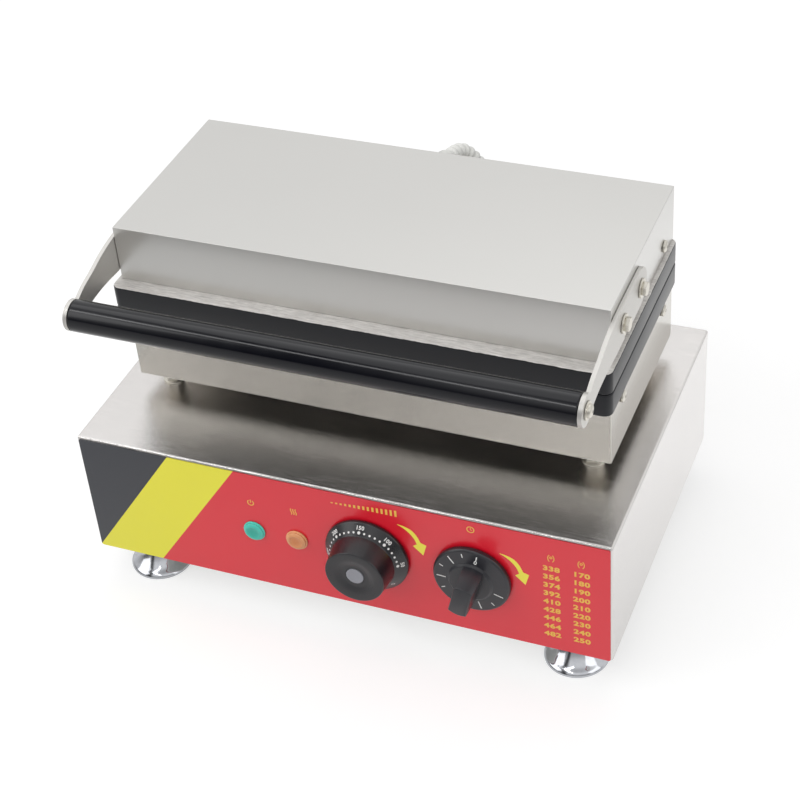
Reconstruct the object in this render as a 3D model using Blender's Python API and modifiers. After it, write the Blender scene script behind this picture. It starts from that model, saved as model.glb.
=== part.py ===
"""Bubble waffle maker for a countertop, as an assembly of its real pieces.

Units are metres. +X is to the right, +Y to the back and +Z up. The origin lies on the table, in the
middle of the whole machine. Every piece is its own object with its own material, and a moving
piece hangs under an empty that stands on its joint's axis.
"""

import math

import bmesh
import bpy
from mathutils import Euler, Matrix, Vector

MM = 0.001

# Fits and overruns
GAP = 0.3 * MM
SEAT_GAP = 0.4 * MM
OVERRUN = 2.0 * MM
WELD = 0.01 * MM

# Base box: one folded sheet, open below, on four feet
BASE_WIDTH = 410.0 * MM
BASE_DEPTH = 255.6 * MM
BASE_HEIGHT = 108.0 * MM
BASE_SHEET = 1.2 * MM
BASE_FOLD = 3.0 * MM
BASE_FLANGE = 12.0 * MM
BOTTOM_SHEET = 1.2 * MM
BOTTOM_INSET = 4.0 * MM
VENT_LENGTH = 46.0 * MM
VENT_WIDTH = 5.0 * MM
VENT_PITCH = 13.0 * MM
VENTS_PER_ROW = 7
VENT_ROW_OFFSET = 95.0 * MM

# Feet: flared chrome, each with its own stud
FOOT_HEIGHT = 30.0 * MM
FOOT_RADIUS = 24.0 * MM
FOOT_NECK_RADIUS = 9.0 * MM
FOOT_LIP = 2.0 * MM
FOOT_SIDE_INSET = 35.0 * MM
FOOT_FRONT_INSET = 27.0 * MM
FOOT_STUD_RADIUS = 4.0 * MM
FOOT_STUD_LENGTH = 9.0 * MM
FOOT_FLARE_SHARES = (
    (1.0, 0.0), (0.92, 0.06), (0.66, 0.18), (0.36, 0.37), (0.1, 0.64), (0.0, 0.9),
)
NUT_BOSS_RADIUS = 6.5 * MM
NUT_BOSS_HEIGHT = 6.0 * MM

# Pillars between the deck and the lower housing
PILLAR_SIDE_INSET = 17.9 * MM
PILLAR_FRONT_INSET = 17.6 * MM
PILLAR_RADIUS = 3.5 * MM
PILLAR_COLLAR_RADIUS = 7.4 * MM
PILLAR_COLLAR_HEIGHT = 7.0 * MM
PILLAR_WASHER_RADIUS = 8.6 * MM
PILLAR_WASHER_HEIGHT = 1.4 * MM
PILLAR_THREAD = 7.0 * MM

# Housings and plates, one above the other
HOUSING_SIDE_SETBACK = 21.1 * MM
HOUSING_DEPTH = 156.3 * MM
HOUSING_SETBACK = 67.0 * MM
HOUSING_SHEET = 1.2 * MM
HOUSING_FOLD = 1.6 * MM
DECK_CLEARANCE = 14.0 * MM
LOWER_HOUSING_HEIGHT = 50.3 * MM
UPPER_HOUSING_HEIGHT = 43.8 * MM
LOWER_PLATE_HEIGHT = 18.2 * MM
UPPER_PLATE_HEIGHT = 17.3 * MM
SEAM_GAP = 0.6 * MM
PLATE_SIDE_LEDGE = 3.4 * MM
PLATE_FRONT_LEDGE = 11.6 * MM
PLATE_CORNER = 6.0 * MM
PLATE_EDGE = 1.0 * MM

# Mould: a shallow rectangle with round pockets in staggered rows
RECESS_DEPTH = 3.0 * MM
RECESS_RIM = 12.5 * MM
RECESS_CORNER = 8.0 * MM
POCKET_RADIUS = 12.0 * MM
POCKET_DEPTH = 9.0 * MM
POCKET_PITCH = 30.0 * MM
POCKET_ROW_PITCH = 26.0 * MM
POCKET_EDGE = 3.5 * MM
POCKET_SIDES = 8
POCKET_RINGS = 4

# Lugs on the backs of the plates, and their side screws
LUG_THICKNESS = 7.0 * MM
LUG_WIDTH = 16.0 * MM
LUG_BELOW_SCREW = 6.5 * MM
SCREW_SPAN = 52.0 * MM
PLATE_SCREW_RISE = 9.4 * MM
PLATE_SCREW_RADIUS = 2.5 * MM
PLATE_SCREW_HEAD_RADIUS = 4.5 * MM
PLATE_SCREW_HEAD = 2.4 * MM
SCREW_BITE = 5.0 * MM
SCREW_HEAD_SHARES = ((0.0, 1.0), (0.72, 0.9), (1.0, 0.35))

# Heaters and insulation
HEATER_RADIUS = 4.0 * MM
HEATER_RUNS = 4
HEATER_RUN_PITCH = 32.0 * MM
HEATER_END_MARGIN = 26.0 * MM
HEATER_PIN_LENGTH = 12.0 * MM
HEATER_PIN_SHARE = 0.38
HEATER_BEND_STEPS = 5
PAD_END_MARGIN = 9.0 * MM

# Hinge behind the plates
OPEN_ANGLE = math.radians(95.0)
HINGE_SETBACK = 14.3 * MM
HINGE_X = 120.0 * MM
HINGE_ROD_RADIUS = 4.0 * MM
HINGE_ROD_REACH = 24.0 * MM
HINGE_ROD_HEAD_RADIUS = 6.5 * MM
HINGE_ROD_HEAD = 3.0 * MM
HINGE_KNUCKLE = 9.5 * MM
HINGE_SHEET = 2.5 * MM
HINGE_LEAF_THICKNESS = 6.0 * MM
HINGE_PLATE_WIDTH = 34.0 * MM
HINGE_STOP_DROP = 6.5 * MM
HINGE_WEB_DROP = 4.5 * MM
HINGE_EDGE_MARGIN = 6.0 * MM
EAR_STEPS = 10
EAR_ARC = (math.radians(144.0), math.radians(-36.0))
TONGUE_BACK_ARC = (math.radians(18.0), math.radians(0.0))
TONGUE_FRONT_ARC = (math.radians(-108.0), math.radians(-189.0))

# Arms and handle
ARM_THICKNESS = 3.0 * MM
ARM_REAR_RADIUS = 14.5 * MM
ARM_RISE = 9.7 * MM
ARM_REACH = 124.7 * MM
ARM_BOLT_PITCH = 42.0 * MM
ARM_BOLT_RISE = 22.0 * MM
ARM_BOLT_SETBACK = 59.6 * MM
ARM_NOTCH_RADIUS = 6.0 * MM
ARM_TOP_SHARES = (
    (0.15, 0.5), (0.25, 0.63), (0.37, 0.82), (0.5, 0.945), (0.62, 0.99), (0.74, 1.0),
)
ARM_UNDER_SHARES = (
    (0.5, -0.198), (0.41, -0.165), (0.3, -0.153), (0.2, -0.19), (0.13, -0.26),
)
ARM_NECK_TOP = math.radians(43.0)
ARM_NECK_UNDER = math.radians(-45.0)
ARM_BOLT_RADIUS = 3.0 * MM
ARM_BOLT_HEAD_RADIUS = 5.4 * MM
ARM_BOLT_HEAD = 3.2 * MM
ARM_WASHER_RADIUS = 7.0 * MM
ARM_WASHER = 1.2 * MM
HANDLE_RADIUS = 11.5 * MM
HANDLE_CORE_RADIUS = 6.0 * MM
HANDLE_EDGE = 1.0 * MM
HANDLE_SCREW_RADIUS = 3.0 * MM
HANDLE_SCREW_HEAD_RADIUS = 4.8 * MM
HANDLE_SCREW_HEAD = 2.8 * MM
HANDLE_SCREW_WASHER_RADIUS = 6.6 * MM
HANDLE_SCREW_WASHER = 1.0 * MM
HANDLE_SCREW_LENGTH = 14.0 * MM

# Front panel film and what stands on it
OVERLAY_THICKNESS = 0.4 * MM
OVERLAY_SIDE_MARGIN = 1.6 * MM
OVERLAY_TOP_MARGIN = 1.8 * MM
OVERLAY_BOTTOM_MARGIN = 0.8 * MM
LAMP_DROP = 55.3 * MM
POWER_LAMP_X = -66.0 * MM
HEAT_LAMP_X = -32.0 * MM
LAMP_RADIUS = 8.5 * MM
LAMP_FLANGE = 1.0 * MM
LAMP_LENS_RADIUS = 7.6 * MM
LAMP_LENS_HEIGHT = 3.4 * MM
LAMP_EDGE = 0.8 * MM
LAMP_BODY_RADIUS = 6.6 * MM
LAMP_BODY_LENGTH = 24.0 * MM
LAMP_NUT_RADIUS = 9.0 * MM
LAMP_NUT = 3.0 * MM
DIAL_DROP = 53.0 * MM
THERMOSTAT_X = 24.0 * MM
TIMER_X = 103.8 * MM
DIAL_GAP = 1.5 * MM
SHAFT_RADIUS = 3.0 * MM
SHAFT_IN_BUSH = 9.0 * MM
BUSH_RADIUS = 5.0 * MM
BUSH_PROUD = 1.0 * MM
KNOB_BORE_DEPTH = 12.0 * MM

# Thermostat knob
THERMOSTAT_SKIRT_RADIUS = 32.0 * MM
THERMOSTAT_SKIRT_EDGE = 2.0 * MM
THERMOSTAT_SKIRT_HEIGHT = 8.6 * MM
THERMOSTAT_CAP_BASE_RADIUS = 24.2 * MM
THERMOSTAT_CAP_RADIUS = 22.3 * MM
THERMOSTAT_CAP_HEIGHT = 25.2 * MM
THERMOSTAT_CAP_EDGE = 1.0 * MM
THERMOSTAT_DISH_RADIUS = 11.5 * MM
THERMOSTAT_DISH_DEPTH = 1.6 * MM
THERMOSTAT_DISC_RADIUS = 6.6 * MM
THERMOSTAT_DISC_HEIGHT = 1.4 * MM
THERMOSTAT_BODY = (46.0 * MM, 28.0 * MM, 42.0 * MM)

# Timer knob
TIMER_DISC_RADIUS = 28.6 * MM
TIMER_DISC_EDGE = 1.4 * MM
TIMER_DISC_HEIGHT = 4.6 * MM
TIMER_BOSS_RADIUS = 17.0 * MM
TIMER_BOSS_HEIGHT = 1.6 * MM
TIMER_GRIP_LENGTH = 25.5 * MM
TIMER_GRIP_WIDTH = 12.2 * MM
TIMER_GRIP_BASE_LENGTH = 31.0 * MM
TIMER_GRIP_BASE_WIDTH = 15.0 * MM
TIMER_GRIP_HEIGHT = 26.5 * MM
TIMER_GRIP_TURN = math.radians(15.0)
TIMER_GRIP_EDGE = 1.2 * MM
TIMER_BODY = (48.0 * MM, 36.0 * MM, 48.0 * MM)

# Mains gland, terminals and capillary
MAINS_GLAND_X = 120.0 * MM
MAINS_GLAND_RISE = 32.0 * MM
GLAND_HEX_RADIUS = 12.5 * MM
GLAND_HEX = 6.0 * MM
GLAND_DOME_RADIUS = 10.0 * MM
GLAND_DOME = 10.0 * MM
GLAND_TIP_RADIUS = 7.5 * MM
GLAND_ROOT_SHARE = 0.4
GLAND_BORE_RADIUS = 4.5 * MM
GLAND_THREAD_RADIUS = 8.0 * MM
GLAND_THREAD = 8.0 * MM
TERMINAL_BLOCK = (52.0 * MM, 22.0 * MM, 18.0 * MM)
TERMINAL_X = 96.0 * MM
TERMINAL_BACK = 62.0 * MM
TERMINAL_HOLE_RADIUS = 2.2 * MM
TERMINAL_HOLE_DEPTH = 7.0 * MM
TERMINALS = 4
BULB_RADIUS = 3.0 * MM
BULB_LENGTH = 76.0 * MM
CAPILLARY_RADIUS = 1.0 * MM
CAPILLARY_HOLE_RADIUS = 3.5 * MM
CAPILLARY_BEND = 6.0 * MM

# Conduit for the lid's wires
CONDUIT_RADIUS = 6.0 * MM
CONDUIT_GROOVE_SHARE = 0.8
CONDUIT_BORE_RADIUS = 3.6 * MM
CONDUIT_RIB_PITCH = 5.5 * MM
CONDUIT_BASE_X = 45.0 * MM
CONDUIT_BASE_BACK = 19.6 * MM
CONDUIT_LID_X = 7.0 * MM
CONDUIT_LID_DROP = 14.0 * MM
CONDUIT_HEX_RADIUS = 11.5 * MM
CONDUIT_HEX = 4.0 * MM
CONDUIT_SLEEVE_RADIUS = 8.6 * MM
CONDUIT_SLEEVE = 9.0 * MM
CONDUIT_SOCKET = 9.0 * MM
CONDUIT_STRAIGHT = 14.0 * MM
CONDUIT_GLAND_BORE = 4.2 * MM
CONDUIT_GLAND_THREAD_RADIUS = 6.5 * MM
CONDUIT_GLAND_THREAD = 5.0 * MM
CONDUIT_BACK_REACH = 42.4 * MM
CONDUIT_ROUTE_SHARES = (
    (0.08, 0.8, 0.97), (0.26, 0.96, 0.9), (0.53, 1.0, 0.78), (0.79, 0.92, 0.64), (0.95, 0.73, 0.46),
    (1.0, 0.55, 0.3),
)

# Facets
SHARP_ANGLE = math.radians(35.0)
ROUND = 28
SMALL_ROUND = 16
TINY_ROUND = 10
NUT_ROUND = 12

# Levels and places worked out from the sizes above
def front_reach():
    """How far the furthest piece stands ahead of the base's front face."""
    handle = ARM_REACH + HANDLE_RADIUS - HOUSING_SETBACK - ARM_BOLT_SETBACK
    thermostat = OVERLAY_THICKNESS + GAP + DIAL_GAP + THERMOSTAT_CAP_HEIGHT
    timer = OVERLAY_THICKNESS + GAP + DIAL_GAP + TIMER_GRIP_HEIGHT
    return max(handle, thermostat, timer)


def back_reach():
    """How far the furthest piece stands behind the base's front face."""
    gland = BASE_DEPTH + GAP + GLAND_HEX + GLAND_DOME
    conduit = HOUSING_SETBACK + HOUSING_DEPTH + CONDUIT_BACK_REACH + CONDUIT_RADIUS
    return max(gland, conduit)


base_front = (front_reach() - back_reach()) / 2
base_back = base_front + BASE_DEPTH
base_mid = base_front + BASE_DEPTH / 2
deck_z = FOOT_HEIGHT + BASE_HEIGHT
housing_front = base_front + HOUSING_SETBACK
housing_back = housing_front + HOUSING_DEPTH
housing_mid = housing_front + HOUSING_DEPTH / 2
housing_width = BASE_WIDTH - 2 * HOUSING_SIDE_SETBACK
housing_half = housing_width / 2
inner_half = housing_half - HOUSING_SHEET
plate_front = housing_front - PLATE_FRONT_LEDGE
plate_width = housing_width + 2 * PLATE_SIDE_LEDGE
plate_depth = HOUSING_DEPTH + PLATE_FRONT_LEDGE
plate_mid = plate_front + plate_depth / 2
lower_bottom = deck_z + DECK_CLEARANCE
lower_top = lower_bottom + LOWER_HOUSING_HEIGHT
lower_plate_bottom = lower_top + SEAT_GAP
seam_low = lower_plate_bottom + LOWER_PLATE_HEIGHT
seam_high = seam_low + SEAM_GAP
upper_plate_top = seam_high + UPPER_PLATE_HEIGHT
lid_bottom = upper_plate_top + SEAT_GAP
lid_top = lid_bottom + UPPER_HOUSING_HEIGHT
pin_y = housing_back + HINGE_SETBACK
pin_z = (seam_low + seam_high) / 2
arm_bolt_y = housing_front + ARM_BOLT_SETBACK
arm_bolt_z = lid_bottom + ARM_BOLT_RISE
handle_y = arm_bolt_y - ARM_REACH
handle_z = arm_bolt_z - ARM_RISE
dial_z = deck_z - DIAL_DROP
panel_y = base_front - GAP - OVERLAY_THICKNESS
lower_screw_z = lower_top - PLATE_SCREW_RISE
upper_screw_z = lid_bottom + PLATE_SCREW_RISE
screw_ys = (housing_mid - SCREW_SPAN, housing_mid + SCREW_SPAN)

FACE_RIGHT = (0, math.pi / 2, 0)
FACE_LEFT = (0, -math.pi / 2, 0)
FACE_FRONT = (math.pi / 2, 0, 0)
FACE_BACK = (-math.pi / 2, 0, 0)
SIDE_VIEW = (math.pi / 2, 0, math.pi / 2)


# Scene, collections and materials
for old in list(bpy.data.objects):
    bpy.data.objects.remove(old, do_unlink=True)

parts = bpy.data.collections.new("bubble_waffle_maker")
cutters = bpy.data.collections.new("cutters")
bpy.context.scene.collection.children.link(parts)
bpy.context.scene.collection.children.link(cutters)


def new_material(name, colour, metallic, roughness):
    made = bpy.data.materials.new(name)
    made.use_nodes = True
    shader = made.node_tree.nodes["Principled BSDF"]
    shader.inputs["Base Color"].default_value = (*colour, 1.0)
    shader.inputs["Metallic"].default_value = metallic
    shader.inputs["Roughness"].default_value = roughness
    made.diffuse_color = (*colour, 1.0)
    return made


FINISHES = {
    "steel": ((0.66, 0.65, 0.62), 1.0, 0.32),
    "chrome": ((0.8, 0.8, 0.82), 1.0, 0.08),
    "zinc": ((0.7, 0.69, 0.64), 1.0, 0.35),
    "cast": ((0.05, 0.05, 0.058), 0.2, 0.5),
    "red_film": ((0.64, 0.05, 0.07), 0.0, 0.4),
    "black_plastic": ((0.045, 0.047, 0.05), 0.0, 0.45),
    "black_grip": ((0.015, 0.016, 0.022), 0.0, 0.3),
    "silver_disc": ((0.6, 0.6, 0.6), 0.6, 0.35),
    "green_lens": ((0.05, 0.36, 0.27), 0.0, 0.2),
    "orange_lens": ((0.66, 0.27, 0.07), 0.0, 0.2),
    "clear_plastic": ((0.75, 0.75, 0.72), 0.0, 0.4),
    "fibre": ((0.75, 0.73, 0.66), 0.0, 0.95),
    "element": ((0.2, 0.19, 0.18), 0.8, 0.5),
    "copper": ((0.62, 0.35, 0.2), 1.0, 0.35),
    "conduit_steel": ((0.62, 0.62, 0.6), 0.9, 0.4),
}


def finish(obj, kind):
    """Give an object a material of its own."""
    colour, metallic, roughness = FINISHES[kind]
    obj.data.shade_smooth()
    obj.data.set_sharp_from_angle(angle=SHARP_ANGLE)
    obj.data.materials.clear()
    obj.data.materials.append(new_material(obj.name + "_finish", colour, metallic, roughness))
    return obj


# Meshes
def mesh_from(bm, name):
    bmesh.ops.recalc_face_normals(bm, faces=bm.faces)
    mesh = bpy.data.meshes.new(name)
    bm.to_mesh(mesh)
    bm.free()
    return mesh


def place(mesh, name, location=(0, 0, 0), rotation=(0, 0, 0), parent=None, home=None):
    """Make an object of a mesh at a place of the whole machine, under a joint's empty or none."""
    obj = bpy.data.objects.new(name, mesh)
    (home or parts).objects.link(obj)
    obj.rotation_euler = rotation
    obj.location = Vector(location)
    if parent:
        obj.parent = parent
        obj.location = Vector(location) - parent.location
    return obj


def add_box(bm, size, centre=(0, 0, 0)):
    matrix = Matrix.Translation(centre) @ Matrix.Diagonal((*size, 1))
    return bmesh.ops.create_cube(bm, size=1, matrix=matrix)


def add_cylinder(bm, radius, length, centre=(0, 0, 0), axis="Z", sides=SMALL_ROUND, top_radius=None):
    turn = {"X": Matrix.Rotation(math.pi / 2, 4, "Y"), "Y": Matrix.Rotation(math.pi / 2, 4, "X")}
    matrix = Matrix.Translation(centre) @ turn.get(axis, Matrix.Identity(4))
    top = radius if top_radius is None else top_radius
    bmesh.ops.create_cone(
        bm, cap_ends=True, segments=sides, radius1=radius, radius2=top, depth=length, matrix=matrix
    )


def boxes_mesh(name, boxes):
    bm = bmesh.new()
    for size, centre in boxes:
        add_box(bm, size, centre)
    return mesh_from(bm, name)


def cylinders_mesh(name, cylinders):
    bm = bmesh.new()
    for radius, length, centre, axis, sides in cylinders:
        add_cylinder(bm, radius, length, centre, axis, sides)
    return mesh_from(bm, name)


def round_edges(obj, width, segments=2, angle=math.radians(50)):
    bevel = obj.modifiers.new("rounded_edges", "BEVEL")
    bevel.width = width
    bevel.segments = segments
    bevel.limit_method = "ANGLE"
    bevel.angle_limit = angle
    return obj


def guide(mesh, name, parent=None):
    """A cutter, or a shape to be joined: it is left out of the finished part."""
    obj = place(mesh, name, parent=parent, home=cutters)
    if parent:
        obj.location = -parent.location
    obj.hide_render = True
    obj.display_type = "WIRE"
    return obj


def combine(obj, tool, operation):
    boolean = obj.modifiers.new(tool.name, "BOOLEAN")
    boolean.operation = operation
    boolean.object = tool
    boolean.solver = "EXACT"
    return obj


def cut(obj, mesh, name):
    return combine(obj, guide(mesh, name, obj.parent), "DIFFERENCE")


def join(obj, mesh, name):
    return combine(obj, guide(mesh, name, obj.parent), "UNION")


def turned(name, profile, location, rotation=(0, 0, 0), parent=None, sides=ROUND, closed=False):
    """A turned shape about its own Z, from (radius, height) points that run down the outer side."""
    mesh = bpy.data.meshes.new(name)
    count = len(profile)
    edges = [(i, i + 1) for i in range(count - 1)]
    if closed:
        edges.append((count - 1, 0))
    mesh.from_pydata([(radius, 0, height) for radius, height in profile], edges, [])
    obj = place(mesh, name, location, rotation, parent)
    screw = obj.modifiers.new("turn", "SCREW")
    screw.axis = "Z"
    screw.angle = 2 * math.pi
    screw.steps = sides
    screw.render_steps = sides
    screw.use_merge_vertices = True
    screw.merge_threshold = WELD
    screw.use_smooth_shade = True
    return obj


def arc(centre, radius, start, end, steps):
    angles = [start + (end - start) * i / steps for i in range(steps + 1)]
    return [(centre[0] + radius * math.cos(a), centre[1] + radius * math.sin(a)) for a in angles]


def smooth_points(points, steps):
    """Points along a smooth curve through the given ones, each stretch in even steps."""
    ends = [points[0], *points, points[-1]]
    out = []
    for i in range(len(points) - 1):
        a, b, c, d = (Vector(p) for p in ends[i:i + 4])
        for k in range(steps):
            t = k / steps
            out.append(
                0.5 * (2 * b + (c - a) * t + (2 * a - 5 * b + 4 * c - d) * t ** 2
                       + (3 * b - a - 3 * c + d) * t ** 3)
            )
    out.append(Vector(points[-1]))
    return out


def even_points(points, pitch):
    """The same line with its points a steady pitch apart."""
    lengths = [0.0]
    for a, b in zip(points, points[1:]):
        lengths.append(lengths[-1] + (b - a).length)
    count = max(2, 2 * round(lengths[-1] / pitch / 2))
    out = []
    j = 0
    for i in range(count + 1):
        want = lengths[-1] * i / count
        while j < len(lengths) - 2 and lengths[j + 1] < want:
            j += 1
        share = (want - lengths[j]) / (lengths[j + 1] - lengths[j])
        out.append(points[j].lerp(points[j + 1], min(max(share, 0.0), 1.0)))
    return out


def rounded_route(corners, radius, steps=4):
    """A route through corners, each one rounded off to a radius."""
    points = [Vector(corners[0])]
    for before, corner, after in zip(corners, corners[1:], corners[2:]):
        corner = Vector(corner)
        back = (Vector(before) - corner).normalized()
        ahead = (Vector(after) - corner).normalized()
        reach = radius / math.tan(back.angle(ahead) / 2)
        start = corner + back * reach
        end = corner + ahead * reach
        for i in range(steps + 1):
            t = i / steps
            points.append((1 - t) ** 2 * start + 2 * t * (1 - t) * corner + t ** 2 * end)
    points.append(Vector(corners[-1]))
    return points


def curve_to_mesh(curve_object, name, parent=None, home=None):
    """The evaluated curve as a mesh with its caps welded; the curve itself is removed."""
    bpy.context.view_layer.update()
    evaluated = curve_object.evaluated_get(bpy.context.evaluated_depsgraph_get())
    mesh = bpy.data.meshes.new_from_object(evaluated)
    bm = bmesh.new()
    bm.from_mesh(mesh)
    bmesh.ops.remove_doubles(bm, verts=bm.verts, dist=WELD)
    bmesh.ops.recalc_face_normals(bm, faces=bm.faces)
    bm.to_mesh(mesh)
    bm.free()
    matrix = curve_object.matrix_world.copy()
    bpy.data.objects.remove(curve_object, do_unlink=True)
    obj = bpy.data.objects.new(name, mesh)
    (home or parts).objects.link(obj)
    obj.matrix_world = matrix
    if parent:
        obj.parent = parent
        obj.location = matrix.translation - parent.location
    return obj


def outline(name, loops, thickness, location, rotation=SIDE_VIEW, parent=None, home=None):
    """A flat outline with any holes as further loops, extruded about its own middle."""
    curve = bpy.data.curves.new(name, "CURVE")
    curve.dimensions = "2D"
    curve.fill_mode = "BOTH"
    curve.extrude = thickness / 2
    for loop in loops:
        spline = curve.splines.new("POLY")
        spline.points.add(len(loop) - 1)
        for point, (x, y) in zip(spline.points, loop):
            point.co = (x, y, 0, 1)
        spline.use_cyclic_u = True
    obj = bpy.data.objects.new(name + "_outline", curve)
    (home or parts).objects.link(obj)
    obj.rotation_euler = rotation
    obj.location = location
    return curve_to_mesh(obj, name, parent, home)


def tube(name, points, radius, shares=None, resolution=2, parent=None, home=None):
    """A round tube or rod along points, whose radius may vary by shares."""
    curve = bpy.data.curves.new(name, "CURVE")
    curve.dimensions = "3D"
    curve.fill_mode = "FULL"
    curve.bevel_depth = radius
    curve.bevel_resolution = resolution
    curve.use_fill_caps = True
    spline = curve.splines.new("POLY")
    spline.points.add(len(points) - 1)
    for i, (point, place_at) in enumerate(zip(spline.points, points)):
        point.co = (*place_at, 1)
        point.radius = shares[i] if shares else 1.0
    obj = bpy.data.objects.new(name + "_line", curve)
    (home or parts).objects.link(obj)
    return curve_to_mesh(obj, name, parent, home)


def joint_empty(name, location):
    empty = bpy.data.objects.new(name, None)
    empty.location = location
    parts.objects.link(empty)
    return empty


# Base: the folded box with its deck, pressed nuts and holes
def pillar_places():
    pillar_x = housing_half - PILLAR_SIDE_INSET
    front = housing_front + PILLAR_FRONT_INSET
    rear = housing_back - PILLAR_FRONT_INSET
    return {
        "front_left": (-pillar_x, front), "front_right": (pillar_x, front),
        "rear_left": (-pillar_x, rear), "rear_right": (pillar_x, rear),
    }


def folded_box(name, size, open_face, flange=0):
    """An open box of thin sheet, as its outer surface; one face is open, or has a flange round it."""
    bm = bmesh.new()
    add_box(bm, size)
    normal = Vector((0, 0, open_face))
    face = max(bm.faces, key=lambda f: f.normal.dot(normal))
    if flange:
        bmesh.ops.inset_region(bm, faces=[face], thickness=flange, use_even_offset=True)
    bmesh.ops.delete(bm, geom=[face], context="FACES")
    mesh = bpy.data.meshes.new(name)
    bm.to_mesh(mesh)
    bm.free()
    return mesh


def sheet(obj, thickness, fold, segments):
    bevel = round_edges(obj, fold, segments, math.radians(40)).modifiers["rounded_edges"]
    bevel.use_clamp_overlap = True
    wall = obj.modifiers.new("sheet", "SOLIDIFY")
    wall.thickness = thickness
    wall.offset = -1
    wall.use_even_offset = True
    return obj


cap_y = housing_mid
cap_x = THERMOSTAT_X + BULB_LENGTH / 2 + 2 * CAPILLARY_BEND
conduit_base = (CONDUIT_BASE_X, base_back - CONDUIT_BASE_BACK)
conduit_lid_z = lid_top - CONDUIT_LID_DROP
mains_z = FOOT_HEIGHT + MAINS_GLAND_RISE
lamp_z = deck_z - LAMP_DROP


def build_base():
    size = (BASE_WIDTH, BASE_DEPTH, BASE_HEIGHT)
    centre = (0, base_mid, FOOT_HEIGHT + BASE_HEIGHT / 2)
    base = place(folded_box("base_housing", size, -1, BASE_FLANGE), "base_housing", centre)
    sheet(base, BASE_SHEET, BASE_FOLD, 2)
    top = deck_z - BASE_SHEET / 2
    bottom = deck_z - BASE_SHEET - NUT_BOSS_HEIGHT
    bosses = [
        (NUT_BOSS_RADIUS, top - bottom, (x, y, (top + bottom) / 2), "Z", NUT_ROUND)
        for x, y in pillar_places().values()
    ]
    join(base, cylinders_mesh("deck_nuts", bosses), "deck_nuts")
    deep = 2 * (NUT_BOSS_HEIGHT + BASE_SHEET + OVERRUN)
    thin = 2 * (BASE_FOLD + OVERRUN)
    holes = [
        (PILLAR_RADIUS + GAP, deep, (x, y, deck_z), "Z", NUT_ROUND)
        for x, y in pillar_places().values()
    ]
    holes += [
        (CONDUIT_GLAND_THREAD_RADIUS + GAP, thin, (*conduit_base, deck_z), "Z", SMALL_ROUND),
        (CAPILLARY_HOLE_RADIUS, thin, (cap_x, cap_y, deck_z), "Z", TINY_ROUND),
        (GLAND_THREAD_RADIUS + GAP, thin, (MAINS_GLAND_X, base_back, mains_z), "Y", SMALL_ROUND),
    ]
    holes += front_holes(base_front, thin)
    cut(base, cylinders_mesh("base_holes", holes), "base_holes")
    finish(base, "steel")


def front_holes(y, length):
    """The holes for lamps and bushes, alike in the steel front and in the printed film."""
    places = [
        (LAMP_BODY_RADIUS, POWER_LAMP_X, lamp_z), (LAMP_BODY_RADIUS, HEAT_LAMP_X, lamp_z),
        (BUSH_RADIUS, THERMOSTAT_X, dial_z), (BUSH_RADIUS, TIMER_X, dial_z),
    ]
    return [(r + GAP, length, (x, y, z), "Y", SMALL_ROUND) for r, x, z in places]


def foot_places():
    side = BASE_WIDTH / 2 - FOOT_SIDE_INSET
    front = base_front + FOOT_FRONT_INSET
    rear = base_back - FOOT_FRONT_INSET
    return {
        "front_left": (-side, front), "front_right": (side, front),
        "rear_left": (-side, rear), "rear_right": (side, rear),
    }


bottom_plate_top = FOOT_HEIGHT - GAP
bottom_plate_under = bottom_plate_top - BOTTOM_SHEET
foot_top = bottom_plate_under - GAP


def build_bottom_plate():
    size = (BASE_WIDTH - 2 * BOTTOM_INSET, BASE_DEPTH - 2 * BOTTOM_INSET, BOTTOM_SHEET)
    centre = (0, base_mid, bottom_plate_top - BOTTOM_SHEET / 2)
    plate = place(boxes_mesh("base_bottom_plate", [(size, (0, 0, 0))]), "base_bottom_plate", centre)
    low = bottom_plate_top - BOTTOM_SHEET / 2
    high = bottom_plate_top + NUT_BOSS_HEIGHT
    bosses = [
        (NUT_BOSS_RADIUS, high - low, (x, y, (high + low) / 2), "Z", NUT_ROUND)
        for x, y in foot_places().values()
    ]
    join(plate, cylinders_mesh("foot_nuts", bosses), "foot_nuts")
    deep = 2 * (NUT_BOSS_HEIGHT + BOTTOM_SHEET + OVERRUN)
    holes = [
        (FOOT_STUD_RADIUS + GAP, deep, (x, y, bottom_plate_top), "Z", NUT_ROUND)
        for x, y in foot_places().values()
    ]
    cut(plate, cylinders_mesh("foot_holes", holes), "foot_holes")
    slot = (VENT_WIDTH, VENT_LENGTH, 2 * (BOTTOM_SHEET + OVERRUN))
    slots = []
    for row in (-1, 1):
        for i in range(VENTS_PER_ROW):
            x = row * VENT_ROW_OFFSET + (i - (VENTS_PER_ROW - 1) / 2) * VENT_PITCH
            slots.append((slot, (x, base_mid, bottom_plate_top)))
    cut(plate, boxes_mesh("vent_slots", slots), "vent_slots")
    finish(plate, "steel")


def build_feet():
    stud_top = foot_top + FOOT_STUD_LENGTH
    flare = [
        (FOOT_NECK_RADIUS + (FOOT_RADIUS - FOOT_NECK_RADIUS) * share_out,
         FOOT_LIP + (foot_top - FOOT_LIP) * share_up)
        for share_out, share_up in reversed(FOOT_FLARE_SHARES)
    ]
    profile = [
        (0, stud_top), (FOOT_STUD_RADIUS, stud_top), (FOOT_STUD_RADIUS, foot_top),
        (FOOT_NECK_RADIUS, foot_top), *flare, (FOOT_RADIUS, 0), (0, 0),
    ]
    for name, (x, y) in foot_places().items():
        finish(turned("foot_" + name, profile, (x, y, 0), sides=SMALL_ROUND), "chrome")


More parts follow.
